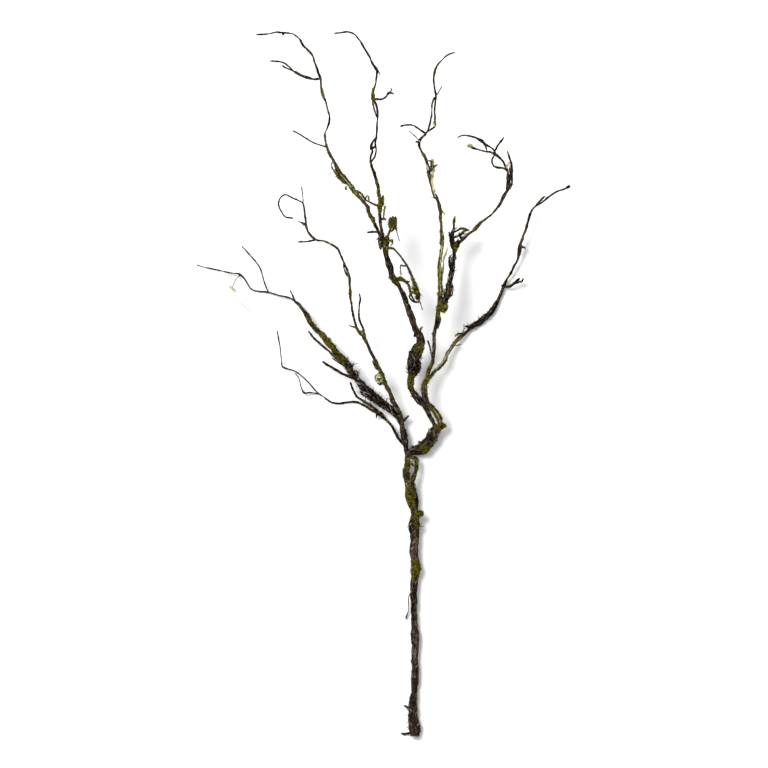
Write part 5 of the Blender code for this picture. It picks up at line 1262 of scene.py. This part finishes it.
def moss_material(growth):
    """Moss shoots: near-black painted shade at the base and between clumps, olive along the leaves and
    yellow-green at the tips, partly painted highlight.
    """
    made, graph, shader = material("moss_shoots")
    place = graph.node("ShaderNodeTexCoord", None, None, "Object")
    tip, shade = read(graph, "tip"), read(graph, "shade")
    patch = graph.noise(place, 7 * MM, 2.0)
    clump = graph.noise(place, CLUMP, 1.0)
    # Bases and clump edges fall to painted shade; tips and clump middles rise towards the partly painted
    # highlight.
    level = graph.clamped(tip * 0.5 - 0.06 + (shade - 0.5) * 0.6 + (patch - 0.5) * 2.5 + (clump - 0.5) * 2.4
                          + (read(graph, "moss") - 0.8) * 0.5)
    colour = graph.blend(graph.clamped(level * 1.8), growth.moss_shade, growth.olive)
    colour = graph.blend(graph.clamped((level - 0.5) * 2.2), colour, growth.bright)
    dry = graph.clamped((graph.noise(place, 11 * MM, 1.0) + shade * 0.3 - 0.72) * 4)
    colour = graph.blend(dry * 0.45, colour, growth.dry)
    shader.inputs["Specular IOR Level"].default_value = DULL
    feed(graph, shader, Base_Color=colour, Roughness=0.9 - tip * 0.15)
    return made


def fibre_material(name, dark, light, few=None):
    """Strips and hairs of dead bark, each in its own shade and lighter towards its tip, partly painted
    highlight. A few can have a colour of their own, partly pale bark and partly painted highlight.
    """
    made, graph, shader = material(name)
    place = graph.node("ShaderNodeTexCoord", None, None, "Object")
    shade = read(graph, "shade")
    # The tip term lightens each shape towards its tip, partly painted highlight.
    level = graph.clamped(shade * 0.8 + graph.noise(place, 2 * MM) * 0.6 - 0.2 + read(graph, "tip") * 0.25)
    colour = graph.blend(level, dark, light)
    if few:
        colour = graph.blend(graph.clamped((shade - 0.8) * 9), colour, few)
    shader.inputs["Specular IOR Level"].default_value = DULL
    feed(graph, shader, Base_Color=colour, Roughness=0.92 - shade * 0.15)
    return made


def settings():
    """The scene's bark, growth and stage settings."""
    scene = bpy.context.scene
    return scene.branch_bark, scene.branch_growth, scene.branch_stage


def once(name, make):
    """A material or tree by name, made the first time that it is wanted."""
    return bpy.data.materials.get(name) or bpy.data.node_groups.get(name) or make()


def group_collection(group):
    """The collection that holds a group's barks and cushions."""
    collection = bpy.data.collections.get(group)
    if not collection:
        collection = bpy.data.collections.new(group)
        bpy.context.scene.collection.children.link(collection)
    return collection


def bark_for(bark):
    """The material of this kind of bark, made once."""
    looks, growth, _ = settings()
    name = f"rough_{bark}"
    return once(name, lambda: bark_material(name, looks, growth, TONES[bark], bark == "pale"))


def wound_line(name, line):
    """A limb's line as its core and the strands wound round it, or alone if the limb is thin."""
    looks, _, _ = settings()
    bark, placed, widths = line
    widest = max(widths)
    count = next((number for width, number in STRANDS if widest > width), 0)
    if not count:
        return [line]
    turn = looks.strand_turn * (0.7 + widest / (9 * MM))
    wound = strands_round(f"{name} {len(placed)}", placed, widths, count, turn)
    core = [width * looks.core * (1 - 0.45 * spot_amount(point, SHAG_SPOTS))
            for point, width in zip(placed, widths)]
    return [(bark, placed, core)] + [(bark, *strand) for strand in wound]


def grow_bark(name, lines, bark, collection):
    """Grows one piece of bark from its lines."""
    looks, _, _ = settings()
    lines = [each for line in lines for each in wound_line(name, line)]
    sizes = sorted(max(widths) for _, _, widths in lines)
    widest = sizes[-1] if len(sizes) < 3 else sizes[-2] * 1.15
    source = bpy.data.objects.new(name, line_mesh(name, lines))
    bpy.context.scene.collection.objects.link(source)
    sides = min(MOST_SIDES, max(LEAST_SIDES, round(math.tau * widest / looks.facet)))
    piece = grown(source, once("limb bark", limb_tree), {
        "Sides": sides, "Ridge Width": looks.ridge_width, "Ridge Depth": looks.ridge_depth,
        "Ridge Stretch": looks.ridge_stretch, "Lump Size": looks.lump_size, "Lump Depth": looks.lump_depth,
        "Grain": looks.grain, "Turn": looks.turn, "Groove": looks.groove, "Strand Turn": looks.strand_turn,
        "Strands": 3 if widest > 2 * MM else 2,
        "Material": bark_for(bark),
        "Seed": random.Random(f"{SEED} {name} bark").uniform(0, 3)}, name)
    collection.objects.link(piece)
    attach(piece, "root")
    return piece


def parent_tail(stops, others):
    """The stop that leads into a limb's start from the end of the limb that it carries on, if it does."""
    start = Vector(stops[0][:3])
    for _, _, other in others:
        if other is stops:
            continue
        end = Vector(other[-1][:3])
        if (start - end).length < 0.6 * other[-1][3]:
            back = end + (Vector(other[-2][:3]) - end).normalized() * other[-1][3] * 0.9
            return (*back, min(other[-1][3], stops[0][3] * 1.15))
    return None


def height_at(x, y):
    """The height of the limb's middle that is nearest to a place."""
    best, level = 1e9, 0.0
    for _, _, stops in [limb for group in GROUPS.values() for limb in group]:
        for a, b in zip(stops, stops[1:]):
            for i in range(6):
                t = i / 6
                spot = [p + (q - p) * t for p, q in zip(a, b)]
                gap = math.hypot(spot[0] - x, spot[1] - y) - spot[3] * 0.25
                if gap < best:
                    best, level = gap, spot[2]
    return level


def in_group(x, y):
    """The group whose limbs pass nearest to a place."""
    def gap(group):
        return min(math.hypot(s[0] - x, s[1] - y) for _, _, stops in GROUPS[group]
                   for a, b in zip(stops, stops[1:])
                   for s in (a, [(p + q) / 2 for p, q in zip(a, b)]))
    return min(GROUPS, key=gap)


GROUP_CHOICES = [(group, group.capitalize(), f"The {group} group") for group in GROUPS]


class BranchOperator(bpy.types.Operator):
    """Builds one group of like pieces."""

    bl_options = {"REGISTER", "UNDO"}


class Branch_OT_limbs(BranchOperator):
    """Grow the bark of one group of limbs over their solids"""

    bl_idname = "branch.limbs"
    bl_label = "Limbs"
    group: EnumProperty(items=GROUP_CHOICES, name="Group", description="Which limbs to grow")

    def execute(self, context):
        looks, _, _ = settings()
        limbs = GROUPS[self.group]
        everything = [limb for group in GROUPS.values() for limb in group]
        for name, bark, stops in limbs:
            lead = parent_tail(stops, everything)
            route = [lead, *stops] if lead else stops
            samples = limb_samples(name, route, looks.step, looks.wobble, looks.girth, collar=not lead)
            piece = grow_bark(f"{name}_bark", [(bark, *samples)], bark, group_collection(self.group))
            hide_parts(name)
        return {"FINISHED"}


class Branch_OT_tendrils(BranchOperator):
    """Grow the thin twigs, tendrils and hairs that have no solid"""

    bl_idname = "branch.tendrils"
    bl_label = "Tendrils"

    def execute(self, context):
        looks, _, _ = settings()
        sets = {}
        for name, bark, stops in TENDRILS:
            middle = stops[len(stops) // 2]
            samples = limb_samples(name, stops, looks.step, looks.wobble, looks.girth)
            sets.setdefault((in_group(*middle[:2]), bark), []).append((bark, *samples))
        for (group, bark), lines in sorted(sets.items(), key=lambda item: item[0]):
            grow_bark(f"{group}_{bark}_tendrils", lines, bark, group_collection(group))
        return {"FINISHED"}


class Branch_OT_cushions(BranchOperator):
    """Swell the moss cushions of one group"""

    bl_idname = "branch.cushions"
    bl_label = "Moss cushions"
    group: EnumProperty(items=GROUP_CHOICES, name="Group", description="Whose cushions to swell")

    def execute(self, context):
        spots = [spot for spot in CUSHIONS if in_group(*spot[:2]) == self.group]
        lines = [("moss", [Vector((x, y, height_at(x, y) + above)) * MM], [size * MM * 0.8])
                 for x, y, above, size in spots]
        name = f"{self.group}_cushions"
        source = bpy.data.objects.new(name, line_mesh(name, lines))
        context.scene.collection.objects.link(source)
        piece = grown(source, once("moss cushions", cushion_tree),
                      {"Material": bark_for("moss")}, name)
        group_collection(self.group).objects.link(piece)
        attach(piece, "root")
        return {"FINISHED"}


def scatter(group, kind, tree, meshes, spacing, size, seed, finish):
    """Scatters these shapes over a group's barks and cushions as one piece."""
    shapes = bpy.data.collections.new(kind)  # kept out of the scene
    for mesh in meshes:
        shapes.objects.link(bpy.data.objects.new(mesh.name, mesh))
    name = f"{group}_{kind}"
    source = bpy.data.objects.new(name, bpy.data.meshes.new(name))
    bpy.context.scene.collection.objects.link(source)
    piece = grown(source, tree, {
        "Surfaces": group_collection(group), "Shapes": shapes, "Spacing": spacing, "Size": size, "Seed": seed,
        "Material": finish}, name)
    bpy.context.scene.collection.objects.link(piece)
    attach(piece, "root")
    for shape in list(shapes.objects):
        bpy.data.objects.remove(shape)
    bpy.data.collections.remove(shapes)


class Branch_OT_moss(BranchOperator):
    """Cover one group's mossy bark with shoots"""

    bl_idname = "branch.moss"
    bl_label = "Moss shoots"
    group: EnumProperty(items=GROUP_CHOICES, name="Group", description="Where to grow the moss")

    def execute(self, context):
        _, growth, _ = settings()
        rng = random.Random(f"{SEED} shoots")
        shapes = [moss_shoot(rng, leaves) for leaves in (3, 4, 5)]
        tree = once("moss shoots", lambda: scatter_tree(
            "moss shoots", lambda graph: attribute(graph, "cover"), 0.75, math.pi))
        scatter(self.group, "moss", tree, shapes, growth.shoot_spacing, growth.shoot_length,
                SEED, once("moss_shoots", lambda: moss_material(growth)))
        return {"FINISHED"}


class Branch_OT_strips(BranchOperator):
    """Lay peeling strips along one group's shaggy bark"""

    bl_idname = "branch.strips"
    bl_label = "Peeling strips"
    group: EnumProperty(items=GROUP_CHOICES, name="Group", description="Where the bark peels")

    def execute(self, context):
        looks, growth, _ = settings()
        rng = random.Random(f"{SEED} strips")
        shapes = [ribbon("strip", rng, width, lift, bend) for width, lift, bend in STRIP_SHAPES]

        def covered(graph):
            broken = graph.noise(graph.node("GeometryNodeInputPosition"), 5 * MM, 1.0)
            return graph.clamped(attribute(graph, "shag") * 0.8 + (broken - 0.62) * 0.6)

        tree = once("peeling strips", lambda: scatter_tree("peeling strips", covered, 0.42, 0.75))
        finish = once("dead_bark", lambda: fibre_material(
            "dead_bark", looks.crack_shade, growth.strip, growth.pale_highlight))
        scatter(self.group, "strips", tree, shapes, growth.strip_spacing, growth.strip_length,
                SEED + 1, finish)
        return {"FINISHED"}


class Branch_OT_hairs(BranchOperator):
    """Set fine hairs on one group's bark"""

    bl_idname = "branch.hairs"
    bl_label = "Hairs"
    group: EnumProperty(items=GROUP_CHOICES, name="Group", description="Where the hairs stand")

    def execute(self, context):
        looks, growth, _ = settings()
        rng = random.Random(f"{SEED} hairs")
        shapes = [ribbon("hair", rng, width, lift, bend, 4, 0.8) for width, lift, bend in HAIR_SHAPES]

        def covered(graph):
            broken = graph.noise(graph.node("GeometryNodeInputPosition"), 8 * MM, 1.0)
            return graph.clamped(0.12 + attribute(graph, "shag") * 0.5 + attribute(graph, "moss") * 0.35
                                 + (broken - 0.5) * 0.6)

        tree = once("hairs", lambda: scatter_tree("hairs", covered, 0.5, 1.2))
        finish = once("hair", lambda: fibre_material("hair", looks.crack_shade, looks.grey))
        scatter(self.group, "hairs", tree, shapes, growth.hair_spacing, growth.hair_length,
                SEED + 2, finish)
        return {"FINISHED"}


class Branch_OT_lichen(BranchOperator):
    """Set flakes of lichen on one group's bark"""

    bl_idname = "branch.lichen"
    bl_label = "Lichen"
    group: EnumProperty(items=GROUP_CHOICES, name="Group", description="Where the lichen grows")

    def execute(self, context):
        _, growth, _ = settings()
        rng = random.Random(f"{SEED} flakes")
        shapes = [crust_flake(rng, lobes) for lobes in (6, 7, 8)]

        def covered(graph):
            broad = graph.noise(graph.node("GeometryNodeInputPosition"), 15 * MM, 1.0)
            fine = graph.noise(graph.node("GeometryNodeInputPosition"), 4 * MM, 1.0)
            return graph.clamped((broad + fine * 0.6 - 0.94) * 4) * (1 - attribute(graph, "cover") * 0.7)

        tree = once("lichen", lambda: scatter_tree("lichen", covered, 0.25, math.pi))
        finish = once("lichen_crust", lambda: fibre_material(
            "lichen_crust", growth.crust_rim, growth.crust))
        scatter(self.group, "lichen", tree, shapes, growth.crust_spacing, growth.crust_size,
                SEED + 3, finish)
        return {"FINISHED"}


class Branch_OT_stage(BranchOperator):
    """Set the floor, the soft light and the camera that looks straight down"""

    bl_idname = "branch.stage"
    bl_label = "Stage"

    def execute(self, context):
        _, _, stage = settings()
        scene = context.scene
        half = stage.floor_size / 2
        mesh = bpy.data.meshes.new("floor")
        corners = [(-half, -half, 0), (half, -half, 0), (half, half, 0), (-half, half, 0)]
        mesh.from_pydata(corners, [], [(0, 1, 2, 3)])
        floor = bpy.data.objects.new("floor", mesh)
        scene.collection.objects.link(floor)
        finish, _, shader = material("pale_floor")
        shader.inputs["Base Color"].default_value = solid(stage.floor)
        shader.inputs["Roughness"].default_value = 0.9
        shader.inputs["Specular IOR Level"].default_value = 0.2
        mesh.materials.append(finish)

        world = bpy.data.worlds.new("soft sky")
        scene.world = world
        world.use_nodes = True
        sky = world.node_tree.nodes["Background"]
        sky.inputs["Color"].default_value = (1, 1, 1, 1)
        sky.inputs["Strength"].default_value = stage.sky

        lamp = bpy.data.lights.new("soft lamp", "AREA")
        lamp.shape = "DISK"
        lamp.size = stage.lamp_width
        lamp.energy = stage.lamp_power
        light = bpy.data.objects.new("soft lamp", lamp)
        light.location = LAMP_PLACE
        light.rotation_euler = (-light.location).to_track_quat("-Z", "Y").to_euler()
        scene.collection.objects.link(light)

        lens = bpy.data.cameras.new("camera")
        lens.lens = stage.lens
        lens.sensor_width = 36.0
        lens.clip_end = 200.0
        camera = bpy.data.objects.new("camera", lens)
        camera.location = (0, 0, stage.view_level + stage.view_width * stage.lens / lens.sensor_width)
        scene.collection.objects.link(camera)
        scene.camera = camera
        scene.view_settings.view_transform = "Standard"
        return {"FINISHED"}


class Branch_PT_panel(bpy.types.Panel):
    """Sizes, colours and steps of the branch"""

    bl_label = "Mossy branch"
    bl_idname = "BRANCH_PT_panel"
    bl_space_type = "VIEW_3D"
    bl_region_type = "UI"
    bl_category = "Branch"

    def draw(self, context):
        for owner in settings():
            box = self.layout.box()
            for name in owner.__annotations__:
                box.prop(owner, name)
        for operator in OPERATORS:
            self.layout.operator(operator.bl_idname)


OPERATORS = (
    Branch_OT_limbs, Branch_OT_tendrils, Branch_OT_cushions, Branch_OT_moss, Branch_OT_strips,
    Branch_OT_hairs, Branch_OT_lichen, Branch_OT_stage,
)
CLASSES = (Branch_PG_bark, Branch_PG_growth, Branch_PG_stage, *OPERATORS, Branch_PT_panel)


def register():
    """Registers the classes and gives the scene its settings."""
    for each in CLASSES:
        bpy.utils.register_class(each)
    bpy.types.Scene.branch_bark = PointerProperty(type=Branch_PG_bark)
    bpy.types.Scene.branch_growth = PointerProperty(type=Branch_PG_growth)
    bpy.types.Scene.branch_stage = PointerProperty(type=Branch_PG_stage)


def unregister():
    """Takes the settings and the classes away again."""
    for name in ("branch_bark", "branch_growth", "branch_stage"):
        delattr(bpy.types.Scene, name)
    for each in reversed(CLASSES):
        bpy.utils.unregister_class(each)


def main():
    """Builds the whole branch and its stage."""
    register()
    for group in GROUPS:
        bpy.ops.branch.limbs(group=group)
    bpy.ops.branch.tendrils()
    for group in GROUPS:
        bpy.ops.branch.cushions(group=group)
        bpy.ops.branch.moss(group=group)
        bpy.ops.branch.strips(group=group)
        bpy.ops.branch.hairs(group=group)
        bpy.ops.branch.lichen(group=group)
    bpy.ops.branch.stage()
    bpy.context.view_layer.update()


if __name__ == "__main__":
    main()
